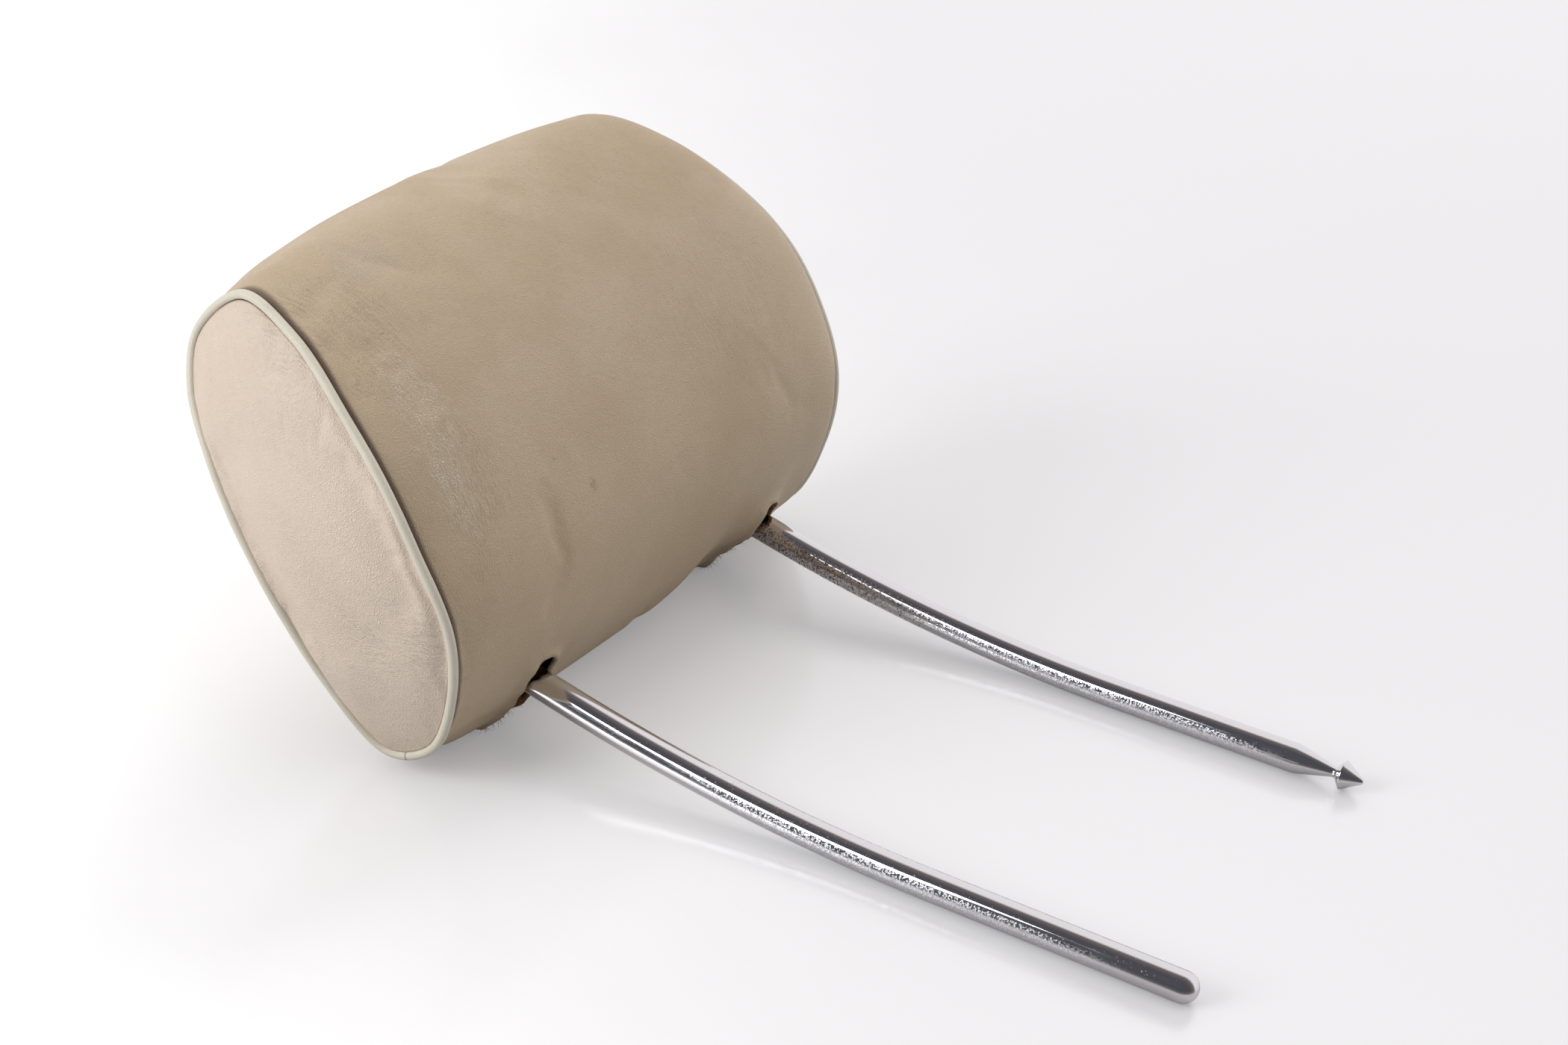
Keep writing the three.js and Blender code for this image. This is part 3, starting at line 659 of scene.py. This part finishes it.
def makeCamera():
    az, el, roll = (cameraPlace[key] for key in ("azimuth", "elevation", "roll"))
    back = Vector((math.sin(az) * math.cos(el), -math.cos(az) * math.cos(el), math.sin(el)))
    right = (-back).cross(Vector((0, 0, 1))).normalized()
    up = right.cross(-back)
    turnedRight = right * math.cos(roll) + up * math.sin(roll)
    turnedUp = up * math.cos(roll) - right * math.sin(roll)
    data = bpy.data.cameras.new("camera")
    data.lens = cameraPlace["lens"]
    data.sensor_width = cameraPlace["sensorWidth"]
    camera = bpy.data.objects.new("camera", data)
    scene.collection.objects.link(camera)
    ballCentre = Vector((0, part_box("support_bar")[0][1] + barForm["radius"], barForm["radius"]))
    spin = Matrix((turnedRight, turnedUp, back)).transposed()
    camera.matrix_world = Matrix.Translation(ballCentre + cameraPlace["fromBallEnd"]) @ spin.to_4x4()
    scene.camera = camera


lighting = {
    # the big soft box on the left
    "sideBox": {"from": Vector((-1.45, 1.00, 0.92)), "size": 1.00, "strength": 23.0},
    # the smaller lamp up on the right, far away, and a broad fill from the right and the front
    "lamp": {"from": Vector((0.74, 0.16, 0.65)), "angle": math.radians(24), "strength": 0.85},
    "fill": {"from": Vector((0.50, -0.80, 0.30)), "angle": math.radians(60), "strength": 1.10},
    # the light all round: its brightest direction, and its two ends
    "skyBright": (0.28, 0.42, 0.86),
    "skyLow": (0.08, 0.075, 0.07, 1.0),
    "skyHigh": (0.90, 0.885, 0.88, 1.0),
    # what shiny pieces mirror: a dark room on the left and overhead, a white wall on the right
    "roomLeft": (0.085, 0.085, 0.10, 1.0),
    "roomMiddle": (0.20, 0.165, 0.15, 1.0),
    "wallRight": (0.95, 0.93, 0.945, 1.0),
    "behind": (0.94, 0.94, 0.95, 1.0),
}
tableLook = {
    "size": 7.0,
    "drop": 0.0002,
    # painted light: the table is paler on the left, near the side box, and darker on the right
    "left": (0.80, 0.805, 0.81, 1.0),
    "right": (0.54, 0.53, 0.54, 1.0),
    "toRight": (0.485, -0.875, 0.0),   # from the paler left to the darker right: painted light, the side box's falloff
    "roughness": 0.17,
    # a painted glow, seen by the camera only, keeps the table's shadows pale
    "paintedGlow": 0.23,
    "paintedGlowColour": (0.97, 0.98, 1.0, 1.0),
    "mirror": (0.97, 0.97, 0.97, 1.0),
    "mirrorRoughness": 0.12,
    "mirrorShare": 0.85,
}


def makeTable():
    half = tableLook["size"] / 2
    corners = [(-half, -half), (half, -half), (half, half), (-half, half)]
    floor = newMesh("floor", [(x, y, -tableLook["drop"]) for x, y in corners], [(0, 1, 2, 3)], smooth=False)
    material, tree, shader = newMaterial("whiteTable")
    cloud = cloudMask(tree, 3.0, 0.3, 0.8)
    # painted light: the colour runs from pale on the left to darker on the right, with a wavy edge
    across = vectors(tree, "DOT_PRODUCT", objectPlace(tree), tableLook["toRight"])
    across = mapped(tree, plus(tree, across, times(tree, cloud, 0.08)), -0.50, 0.12)
    # painted glow: the table top glows for the camera only
    seen = addNode(tree, "ShaderNodeLightPath").outputs["Is Camera Ray"]
    setInputs(tree, shader, {
        "Base Color": mixColour(tree, across, tableLook["left"], tableLook["right"]),
        "Roughness": tableLook["roughness"],
        "Emission Color": tableLook["paintedGlowColour"],
        "Emission Strength": times(tree, seen, tableLook["paintedGlow"]),
    })
    # the table top mirrors more the flatter it is seen
    flat = addNode(tree, "ShaderNodeLayerWeight", None, {"Blend": 0.5}).outputs["Facing"]
    mirror = addNode(tree, "ShaderNodeBsdfGlossy", None, {
        "Color": tableLook["mirror"], "Roughness": tableLook["mirrorRoughness"],
    })
    layers = addNode(tree, "ShaderNodeMixShader", None, {
        0: times(tree, mapped(tree, flat, 0.62, 0.86), tableLook["mirrorShare"]),
        1: shader.outputs["BSDF"], 2: mirror.outputs["BSDF"],
    })
    tree.links.new(layers.outputs["Shader"], tree.nodes["Material Output"].inputs["Surface"])
    floor.data.materials.append(material)


def makeLights():
    for name in ("sideBox", "lamp", "fill"):
        look = lighting[name]
        light = bpy.data.lights.new(name, "AREA" if name == "sideBox" else "SUN")
        light.energy = look["strength"]
        if name == "sideBox":
            light.size = look["size"]
        else:
            light.angle = look["angle"]
        holder = bpy.data.objects.new(name, light)
        holder.visible_glossy = name == "sideBox"
        scene.collection.objects.link(holder)
        holder.location = look["from"]
        holder.rotation_euler = look["from"].to_track_quat("Z", "Y").to_euler()


def makeWorld():
    world = bpy.data.worlds.new("studio")
    scene.world = world
    world.use_nodes = True
    tree = world.node_tree
    direction = addNode(tree, "ShaderNodeTexCoord").outputs["Generated"]
    toRight = addNode(tree, "ShaderNodeSeparateXYZ", None, {0: direction}).outputs["X"]
    room = mixColour(tree, mapped(tree, toRight, -0.45, 0.30), lighting["roomLeft"], lighting["roomMiddle"])
    room = mixColour(tree, mapped(tree, toRight, 0.12, 0.44), room, lighting["wallRight"])
    overhead = vectors(tree, "DOT_PRODUCT", direction, lighting["skyBright"])
    sky = mixColour(tree, mapped(tree, overhead, -0.05, 0.80), lighting["skyLow"], lighting["skyHigh"])
    path = addNode(tree, "ShaderNodeLightPath").outputs
    colour = mixColour(tree, path["Is Glossy Ray"], sky, room)
    colour = mixColour(tree, path["Is Camera Ray"], colour, lighting["behind"])
    tree.links.new(colour, tree.nodes["Background"].inputs["Color"])


makeCamera()
makeTable()
makeLights()
makeWorld()
scene.view_settings.view_transform = "Standard"
print("camera and stage made")


# Support bar: one rod, bent, with a ball end on the left post and a catch on the right one

def postPoint(distance):
    rise, radius = barForm["rise"], barForm["curveRadius"]
    straight = barForm["tipStraight"]
    level = barForm["radius"]
    if distance <= straight:
        return distance, level, 0.0
    along = distance - straight
    if along <= radius * rise:
        slope = along / radius
        return straight + radius * math.sin(slope), level + radius * (1 - math.cos(slope)), slope
    rest = along - radius * rise
    return (
        straight + radius * math.sin(rise) + rest * math.cos(rise),
        level + radius * (1 - math.cos(rise)) + rest * math.sin(rise), rise,
    )


catchForm = {
    "headLength": 0.0086,
    "headRadius": 0.006,
    "noseRadius": 0.0014,
    "backLength": 0.003,
    "neckRadius": 0.0022,
    "neckLength": 0.0012,
    "taperLength": 0.016,
    "edge": 0.0004,
}


def ballProfile():
    radius = barForm["radius"]
    turns = [math.radians(90 * k / 10) for k in range(11)]
    return [(-radius * math.cos(turn), radius * math.sin(turn)) for turn in turns]


def catchProfile():
    form = catchForm
    start = -barForm["radius"]
    headEnd = start + form["headLength"]
    neckStart = headEnd + form["backLength"]
    neckEnd = neckStart + form["neckLength"]
    nose = form["noseRadius"]
    points = [(start + nose * (1 - math.cos(turn)), nose * math.sin(turn))
              for turn in (math.radians(k) for k in (0, 25, 45, 62))]
    cone = (points[-1], (headEnd - form["edge"], form["headRadius"] - form["edge"] * 0.6))
    for share in (0.25, 0.5, 0.75, 1.0):
        points.append(tuple(a + (b - a) * share for a, b in zip(*cone)))
    points += [(headEnd, form["headRadius"]), (headEnd + form["edge"], form["headRadius"] - form["edge"])]
    points += [(neckStart - form["edge"], form["neckRadius"] + form["edge"]), (neckStart, form["neckRadius"])]
    points += [(neckEnd, form["neckRadius"])]
    for share in (0.08, 0.3, 0.6, 0.85, 0.96, 1.0):
        ease = share * 0.75 + 0.25 * math.sin(share * math.pi / 2)
        spread = form["neckRadius"] + (barForm["radius"] - form["neckRadius"]) * ease
        points.append((neckEnd + form["taperLength"] * share, spread))
    return points


def barHalf(x, profile):
    arcEnd = barForm["tipStraight"] + barForm["curveRadius"] * barForm["rise"]
    straightEnd = arcEnd + barForm["innerStraight"] - barForm["bendRadius"]
    stations = list(profile)
    marks = list(np.arange(stations[-1][0] + 0.006, straightEnd, 0.006)) + [straightEnd]
    stations += [(mark, barForm["radius"]) for mark in marks]
    baseY = crossBar.y - (
        barForm["tipStraight"] + barForm["curveRadius"] * math.sin(barForm["rise"])
        + barForm["innerStraight"] * math.cos(barForm["rise"])
    )
    rings = []
    for distance, radius in stations:
        y, z, slope = postPoint(distance)
        rings.append((Vector((x, baseY + y, z)), Vector((0, math.cos(slope), math.sin(slope))), radius))
    along = Vector((0, math.cos(barForm["rise"]), math.sin(barForm["rise"])))
    inwards = -math.copysign(1, x)
    middle = Vector((x, crossBar.y, crossBar.z)) - along * barForm["bendRadius"]
    middle.x += inwards * barForm["bendRadius"]
    for step in range(1, 13):
        turn = math.pi / 2 * step / 12
        place = middle + along * (barForm["bendRadius"] * math.sin(turn))
        place.x -= inwards * barForm["bendRadius"] * math.cos(turn)
        heading = along * math.cos(turn)
        heading.x = inwards * math.sin(turn)
        rings.append((place, heading, barForm["radius"]))
    return rings


def makeSupportBar():
    sides = 48
    left = barHalf(-barForm["spacing"] / 2, ballProfile())
    right = barHalf(barForm["spacing"] / 2, catchProfile())
    rings = left + [(place, -heading, radius) for place, heading, radius in reversed(right)]
    points, starts, faces = [], [], []
    side = Vector((-1, 0, 0))
    for place, heading, radius in rings:
        side = (side - heading * side.dot(heading)).normalized()
        up = heading.cross(side)
        starts.append(len(points))
        if radius < 1e-7:
            points.append(place)
            continue
        for k in range(sides):
            angle = 2 * math.pi * k / sides
            points.append(place + side * (radius * math.cos(angle)) + up * (radius * math.sin(angle)))
    counts = [1 if ring[2] < 1e-7 else sides for ring in rings]
    for i in range(len(rings) - 1):
        for k in range(sides):
            j = (k + 1) % sides
            corners = [(i, k), (i, j), (i + 1, j), (i + 1, k)]
            face = [starts[ring] + (place if counts[ring] > 1 else 0) for ring, place in corners]
            faces.append(tuple(dict.fromkeys(face)))
    bar = outwards(newMesh("supportBar", points, faces))
    bar.data.materials.append(chrome)
    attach(bar, "posts")
    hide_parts("support_bar")
    return bar


makeSupportBar()
print("support bar made")


# Cushion leather

bandLook = {
    "around": 168,
    "slotHalfWidth": 0.0092,
    "slotFrom": math.radians(212),        # direction from the cross bar, in the cushion's Y and Z
    "slotTo": math.radians(266),
    "pressure": 4.0,
    "cap": 0.004,
    "leastCrown": 0.008,
    "shoulder": [(0, 0.25), (30, 0.45), (60, 1.0), (110, 1.0), (140, 0.5), (170, 0), (360, 0)],
    # hollows and swellings of the skin: x, direction from the cross bar, radius, height
    "dents": [
        (0.058, math.radians(232), 0.030, -0.0045),
        (0.105, math.radians(205), 0.022, -0.0025),
        (0.100, math.radians(80), 0.042, -0.0062),
        (-0.098, math.radians(86), 0.042, -0.0030),
        (0.069, math.radians(213), 0.017, 0.0032),
    ],
    # from here up the left slot's rim is worn smooth and shows no raw leather
    "rawFrom": math.radians(238),
    "rimReach": 0.001,
    "lipReach": 0.0065,
    "lipHeight": 0.0026,
    "edgeEase": 0.012,
    "growth": 0.003,
    "broadShare": 0.85,                # of the cloth's broad swelling, taken out again
    "broadRounds": 60,
    "clothSteps": 20,
}


def columnPlaces():
    # where the band's columns lie across it at its widest, with a column on each slot's edges
    post = barForm["spacing"] / 2
    half = bandLook["slotHalfWidth"]
    wide = max(half for _, half in cushionForm["halfWidths"]) - cushionForm["seamInset"]
    marks = [0.0, post - half, post, post + half, wide]
    steps = [18, 4, 4, 15]
    places = [0.0]
    for (low, high), count in zip(zip(marks, marks[1:]), steps):
        for k in range(1, count + 1):
            share = k / count
            if high == wide:
                share = math.sin(share * math.pi / 2) * 0.5 + share * 0.5
            places.append(low + (high - low) * share)
    return [-x for x in reversed(places[1:])] + places


def makeBandSkin():
    places, normals = closedCurve(cushionForm["pipingLine"], bandLook["around"])
    columns = columnPlaces()
    wide = columns[-1]
    straight = barForm["spacing"] / 2 + bandLook["slotHalfWidth"]
    points = []
    for column in columns:
        for place, normal in zip(places, normals):
            share = abs(column) / wide
            bulge = crownOf(normal) * (1 - share ** cushionForm["crownPower"])
            if column > 0:
                # the right shoulder is fuller toward the front and rolls over its piping
                facing = math.degrees(math.atan2(-normal[0], normal[1])) % 360
                fuller = smoothValue(bandLook["shoulder"], facing)
                rolled = max(crownOf(normal), bandLook["leastCrown"]) * (1 - share ** 9) ** 0.6
                ease = smoothValue([(0, 0), (0.5, 1), (1, 1)], share)
                bulge += (rolled - bulge) * ease * fuller
            y, z = place + normal * bulge
            here = halfWidthAt(z) - cushionForm["seamInset"]
            across = abs(column)
            if across > straight:
                across = straight + (across - straight) * (here - straight) / (wide - straight)
            points.append(toRow(math.copysign(across, column), y, z))
    faces = ringFaces(len(columns), bandLook["around"])
    return outwards(newMesh("coverBand", points, faces)), len(columns)


def puff(made, pinned, pressure, cap, grow):
    # air pressure under the leather, by cloth; no point moves further than cap
    before = [vertex.co.copy() for vertex in made.data.vertices]
    group = made.vertex_groups.new(name="held")
    group.add(pinned, 1.0, "REPLACE")
    cloth = made.modifiers.new("air", "CLOTH")
    settings = cloth.settings
    settings.quality = 6
    settings.mass = 0.25
    settings.tension_stiffness = 18
    settings.compression_stiffness = 18
    settings.shear_stiffness = 8
    settings.bending_stiffness = 0.6
    settings.use_pressure = True
    settings.uniform_pressure_force = pressure
    settings.shrink_min = -grow
    settings.shrink_max = -grow
    settings.vertex_group_mass = "held"
    settings.effector_weights.gravity = 0
    cloth.collision_settings.use_collision = False
    cloth.point_cache.frame_start = 1
    cloth.point_cache.frame_end = bandLook["clothSteps"]
    for step in range(1, bandLook["clothSteps"] + 1):
        scene.frame_set(step)
    applyModifiers(made)
    scene.frame_set(1)
    made.vertex_groups.clear()
    for vertex, start in zip(made.data.vertices, before):
        shift = vertex.co - start
        if shift.length > cap:
            vertex.co = start + shift * (cap / shift.length)
    return made


def keepWrinkles(made, before, columns, around):
    # takes the broad swelling back out of the puffed skin, so that only its unevenness stays
    shape = (columns, around, 3)
    after = np.array([vertex.co[:] for vertex in made.data.vertices]).reshape(shape)
    start = before.reshape(shape)
    shift = after - start
    broad = shift.copy()
    for _ in range(bandLook["broadRounds"]):
        broad = (np.roll(broad, 1, 1) + np.roll(broad, -1, 1) + 2 * broad) / 4
        inner = (broad[:-2] + broad[2:] + 2 * broad[1:-1]) / 4
        broad[1:-1] = inner
    kept = start + (shift - broad * bandLook["broadShare"])
    for vertex, place in zip(made.data.vertices, kept.reshape(-1, 3)):
        vertex.co = place
    made.data.update()


def slotDistance(local, post):
    # how far a point on the skin lies outside the slot's outline, along the skin
    angle, reach = aroundBar(local)
    if angle > math.radians(350) or angle < math.radians(120):
        return 1.0                     # on the cushion's far side
    past = max(bandLook["slotFrom"] - angle, angle - bandLook["slotTo"], 0.0) * reach
    return math.hypot(local.x - post, past) - bandLook["slotHalfWidth"]


def ontoOutline(point, post):
    # moves a point of the rim along the skin onto the slot's outline
    local = toCushion(point)
    angle, reach = aroundBar(local)
    end = min(max(angle, bandLook["slotFrom"]), bandLook["slotTo"])
    away = Vector((local.x - post, (angle - end) * reach))
    if away.length < 1e-6:
        return point
    away *= -slotDistance(local, post) / away.length
    turn = angle + away.y / reach
    return toRow(local.x + away.x, reach * math.cos(turn), reach * math.sin(turn))


def cutSlots(made):
    # takes out the faces in each slot and moves the rim onto its rounded outline
    work = bmesh.new()
    work.from_mesh(made.data)
    for post in (-barForm["spacing"] / 2, barForm["spacing"] / 2):
        gone = [face for face in work.faces
                if abs(face.calc_center_median().x - post) < bandLook["slotHalfWidth"] + 0.001
                and slotDistance(toCushion(face.calc_center_median()), post) < 0]
        bmesh.ops.delete(work, geom=gone, context="FACES")
        rim = [vertex for vertex in work.verts if vertex.is_boundary and abs(vertex.co.x - post) < 0.012]
        for _ in range(6):
            for vertex in rim:
                vertex.co = ontoOutline(vertex.co, post)
            evened = []
            for vertex in rim:
                ends = [edge.other_vert(vertex).co for edge in vertex.link_edges if edge.is_boundary]
                evened.append((vertex.co * 2 + ends[0] + ends[1]) / 4)
            for vertex, place in zip(rim, evened):
                vertex.co = place
        for vertex in rim:
            vertex.co = ontoOutline(vertex.co, post)
    work.to_mesh(made.data)
    work.free()
    return made


def dentAt(point):
    # how far the skin's hollows and swellings stand out at a point
    local = toCushion(point)
    angle, reach = aroundBar(local)
    shift = 0.0
    for x, direction, radius, height in bandLook["dents"]:
        away = ((local.x - x) ** 2 + ((angle - direction) * reach) ** 2) ** 0.5 / radius
        shift += height * math.exp(-2 * away * away) if away < 2.2 else 0.0
    # the sewn edges stay where they are
    fromEdge = halfWidthAt(local.z) - cushionForm["seamInset"] - abs(local.x)
    return shift * min(max(fromEdge / bandLook["edgeEase"], 0.0), 1.0)


def shapeSkin(made):
    # dents, and the slots' lips, which stand a little off the cushion
    post = barForm["spacing"] / 2
    made.data.update()
    shifts = []
    for vertex in made.data.vertices:
        local = toCushion(vertex.co)
        shift = dentAt(vertex.co)
        past = min(slotDistance(local, -post), slotDistance(local, post))
        if past < bandLook["lipReach"]:
            near = 1 - max(past, 0.0) / bandLook["lipReach"]
            uneven = 0.75 + 0.5 * organic.noise(vertex.co * 160)
            shift += bandLook["lipHeight"] * near ** 2 * uneven
        shifts.append(vertex.normal * shift)
    for vertex, shift in zip(made.data.vertices, shifts):
        vertex.co += shift


fibreLook = {
    "count": 260,
    "length": (0.0012, 0.0042),
    "thickness": 0.00011,
    "seed": 7,
}


def makeFibres(band):
    # torn suede fibres along the slots' lower lips
    dice = random.Random(fibreLook["seed"])
    post = barForm["spacing"] / 2
    rim = []
    work = bmesh.new()
    work.from_mesh(band.data)
    for edge in work.edges:
        if not edge.is_boundary:
            continue
        middle = (edge.verts[0].co + edge.verts[1].co) / 2
        local = toCushion(middle)
        angle = math.degrees(math.atan2(local.z, local.y)) % 360
        side = min((-post, post), key=lambda x: abs(local.x - x))
        if abs(local.x - side) < 0.014 and 222 < angle < 282 and local.x < side + 0.004:
            outward = edge.link_faces[0].normal.copy()
            rim.append((middle, outward, Vector((side - local.x, 0, 0)).normalized()))
    work.free()
    points, faces = [], []
    for _ in range(fibreLook["count"]):
        start, outward, inward = dice.choice(rim)
        length = dice.uniform(*fibreLook["length"]) * dice.uniform(0.5, 1.0)
        heading = (outward * dice.uniform(0.2, 1.0) + inward * dice.uniform(-0.3, 0.7) + Vector((
            dice.uniform(-0.5, 0.5), dice.uniform(-0.5, 0.5), dice.uniform(-0.5, 0.5)))).normalized()
        bend = Vector([dice.uniform(-0.5, 0.5) for _ in range(3)])
        place = start + Vector([dice.uniform(-0.0006, 0.0006) for _ in range(3)]) - outward * 0.0008
        radius = fibreLook["thickness"] * dice.uniform(0.6, 1.3)
        first = len(points)
        for step in range(4):
            across = heading.orthogonal().normalized()
            other = heading.cross(across)
            thin = radius * (1 - 0.25 * step)
            for k in range(3):
                turn = 2 * math.pi * k / 3
                points.append(place + across * (thin * math.cos(turn)) + other * (thin * math.sin(turn)))
            place = place + heading * (length / 3)
            heading = (heading + bend * 0.35).normalized()
        for step in range(3):
            for k in range(3):
                j = (k + 1) % 3
                low, high = first + step * 3, first + step * 3 + 3
                faces.append((low + k, low + j, high + j, high + k))
        faces.append((first + 2, first + 1, first))
        faces.append((first + 9, first + 10, first + 11))
    fibres = newMesh("slotFibres", points, faces)
    fibres.data.materials.append(fibreBrown)
    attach(fibres, "cushion")


def thicken(made, depth, outer, inner):
    made.data.materials.clear()
    made.data.materials.append(outer)
    made.data.materials.append(inner)
    solid = made.modifiers.new("thickness", "SOLIDIFY")
    solid.thickness = depth
    solid.offset = -1
    solid.material_offset = 1
    solid.material_offset_rim = 1
    return applyModifiers(made)


def pressFlat(made):
    for vertex in made.data.vertices:
        vertex.co.z = max(vertex.co.z, 0.0)


def makeCoverBand():
    band, columns = makeBandSkin()
    around = bandLook["around"]
    edge = list(range(around)) + list(range((columns - 1) * around, columns * around))
    before = np.array([vertex.co[:] for vertex in band.data.vertices])
    puff(band, edge, bandLook["pressure"], bandLook["cap"], bandLook["growth"])
    print("band puffed")
    keepWrinkles(band, before, columns, around)
    finer = band.modifiers.new("finer", "SUBSURF")
    finer.levels = finer.render_levels = 1
    applyModifiers(band)
    cutSlots(band)
    shapeSkin(band)
    pressFlat(band)
    makeFibres(band)
    thicken(band, cushionForm["leather"], bandLeather, suede)
    for face in band.data.polygons:
        local = toCushion(face.center)
        nearSlot = slotDistance(local, -barForm["spacing"] / 2) < bandLook["rimReach"]
        if local.x < 0 and aroundBar(local)[0] < bandLook["rawFrom"] and nearSlot:
            face.material_index = 0
    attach(band, "cushion")
    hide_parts("cover_band")
    return band


panelLook = {
    "around": 168,
    "shares": [1.0, 0.985, 0.96, 0.93, 0.89, 0.84, 0.78, 0.71, 0.63, 0.54, 0.44, 0.33, 0.22, 0.11],
    "dome": 0.0085,
    "domePower": 2.8,
    "standOff": 0.0006,
    "edgeInset": 0.0017,
    "pressure": 3.0,
    "cap": 0.003,
    "growth": 0.005,
}


def makeEndPanel(name, side):
    places, normals = closedCurve(cushionForm["pipingLine"], panelLook["around"])
    middle = places.mean(0)
    points = []
    around = panelLook["around"]
    for share in panelLook["shares"]:
        rise = panelLook["standOff"] + panelLook["dome"] * (1 - share ** panelLook["domePower"])
        for place, normal in zip(places, normals):
            y, z = middle + (place - normal * panelLook["edgeInset"] - middle) * share
            points.append(toRow(side * (halfWidthAt(z) + rise), y, z))
    top = panelLook["standOff"] + panelLook["dome"]
    points.append(toRow(side * (halfWidthAt(middle[1]) + top), *middle))
    faces = ringFaces(len(panelLook["shares"]), around)
    last = (len(panelLook["shares"]) - 1) * around
    faces += [(last + k, last + (k + 1) % around, len(points) - 1) for k in range(around)]
    panel = newMesh(name, points, faces)
    if panel.data.polygons[0].normal.x * side < 0:
        panel.data.flip_normals()
    puff(panel, list(range(around)), panelLook["pressure"], panelLook["cap"], panelLook["growth"])
    finer = panel.modifiers.new("finer", "SUBSURF")
    finer.levels = finer.render_levels = 1
    applyModifiers(panel)
    thicken(panel, cushionForm["leather"], panelLeather, suede)
    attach(panel, "cushion")
    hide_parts(f"end_panel_{'left' if side < 0 else 'right'}")
    return panel


pipingLook = {
    "stations": 420,
    "sides": 16,
    "radius": 0.0019,
    "jointAt": 25 / 48,
    "jointGap": 0.0005,
}


def makePiping(name, side):
    count, sides = pipingLook["stations"], pipingLook["sides"]
    places, normals = closedCurve(cushionForm["pipingLine"], count)
    start = round(pipingLook["jointAt"] * count)
    order = [(start + k) % count for k in range(count)]
    points = []
    shift = pipingLook["jointGap"] / 2
    for n, i in enumerate(order + [start]):
        place, normal = places[i].copy(), normals[i]
        along = np.array([normal[1], -normal[0]])
        ahead = places[(i + 1) % count] - place
        if np.dot(ahead, along) < 0:
            along = -along
        if n == 0:
            place = place + along * shift
        if n == count:
            place = place - along * shift
        wobble = organic.noise(Vector((place[0] * 60, place[1] * 60, side))) * 0.00012
        for k in range(sides):
            angle = 2 * math.pi * k / sides
            radius = pipingLook["radius"] + wobble
            y, z = place + normal * (radius * math.cos(angle))
            points.append(toRow(side * halfWidthAt(place[1]) + radius * math.sin(angle), y, z))
    faces = ringFaces(count + 1, sides)
    faces += [tuple(range(sides)), tuple(count * sides + k for k in reversed(range(sides)))]
    piping = outwards(newMesh(name, points, faces))
    piping.data.materials.append(pipingLeather)
    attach(piping, "cushion")
    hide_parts(f"piping_{'left' if side < 0 else 'right'}")
    return piping


makeCoverBand()
print("cover band made")
for sideName, side in (("Left", -1), ("Right", 1)):
    makeEndPanel(f"endPanel{sideName}", side)
    makePiping(f"piping{sideName}", side)
print("end panels and piping made")


# Foam core: the solid's own shape, softened

foamLook = {
    "voxel": 0.004,
    "softenFactor": 0.5,
    "softenRounds": 4,
    "clearOfLeather": 0.0035,
    "clearInside": 0.0008,
}


def makeFoamCore():
    core = bpy.data.objects.new("foamCore", frame["nodes"]["foam_core"].data.copy())
    scene.collection.objects.link(core)
    blocks = core.modifiers.new("blocks", "REMESH")
    blocks.mode = "VOXEL"
    blocks.voxel_size = foamLook["voxel"]
    applyModifiers(core)
    soften = core.modifiers.new("soften", "SMOOTH")
    soften.factor = foamLook["softenFactor"]
    soften.iterations = foamLook["softenRounds"]
    applyModifiers(core)
    # its outer side keeps clear of the leather's hollows and wrinkles
    middle = toRow(0, 0, 0.06)
    shifts = []
    for vertex in core.data.vertices:
        outside = vertex.normal.dot(vertex.co - middle) > 0
        shift = -foamLook["clearInside"]
        if outside:
            shift = min(dentAt(vertex.co), 0.0) - foamLook["clearOfLeather"]
        shifts.append(vertex.normal * shift)
    for vertex, shift in zip(core.data.vertices, shifts):
        vertex.co += shift
    core.data.materials.clear()
    core.data.materials.append(foam)
    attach(core, "cushion")
    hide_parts("foam_core")
    return core


makeFoamCore()
print("foam core made")

# Inner steel and plastic keep their solids and get their finishes here
for nodeName, node in frame["nodes"].items():
    if nodeName.startswith(("clamp_", "spring_washer")):
        finish = zinc
    elif nodeName.startswith("friction_liner"):
        finish = nylon
    elif nodeName == "carrier_plate":
        finish = blackPaint
    else:
        continue
    node.data.materials.clear()
    node.data.materials.append(finish)
print("inner pieces finished")

bpy.context.view_layer.update()
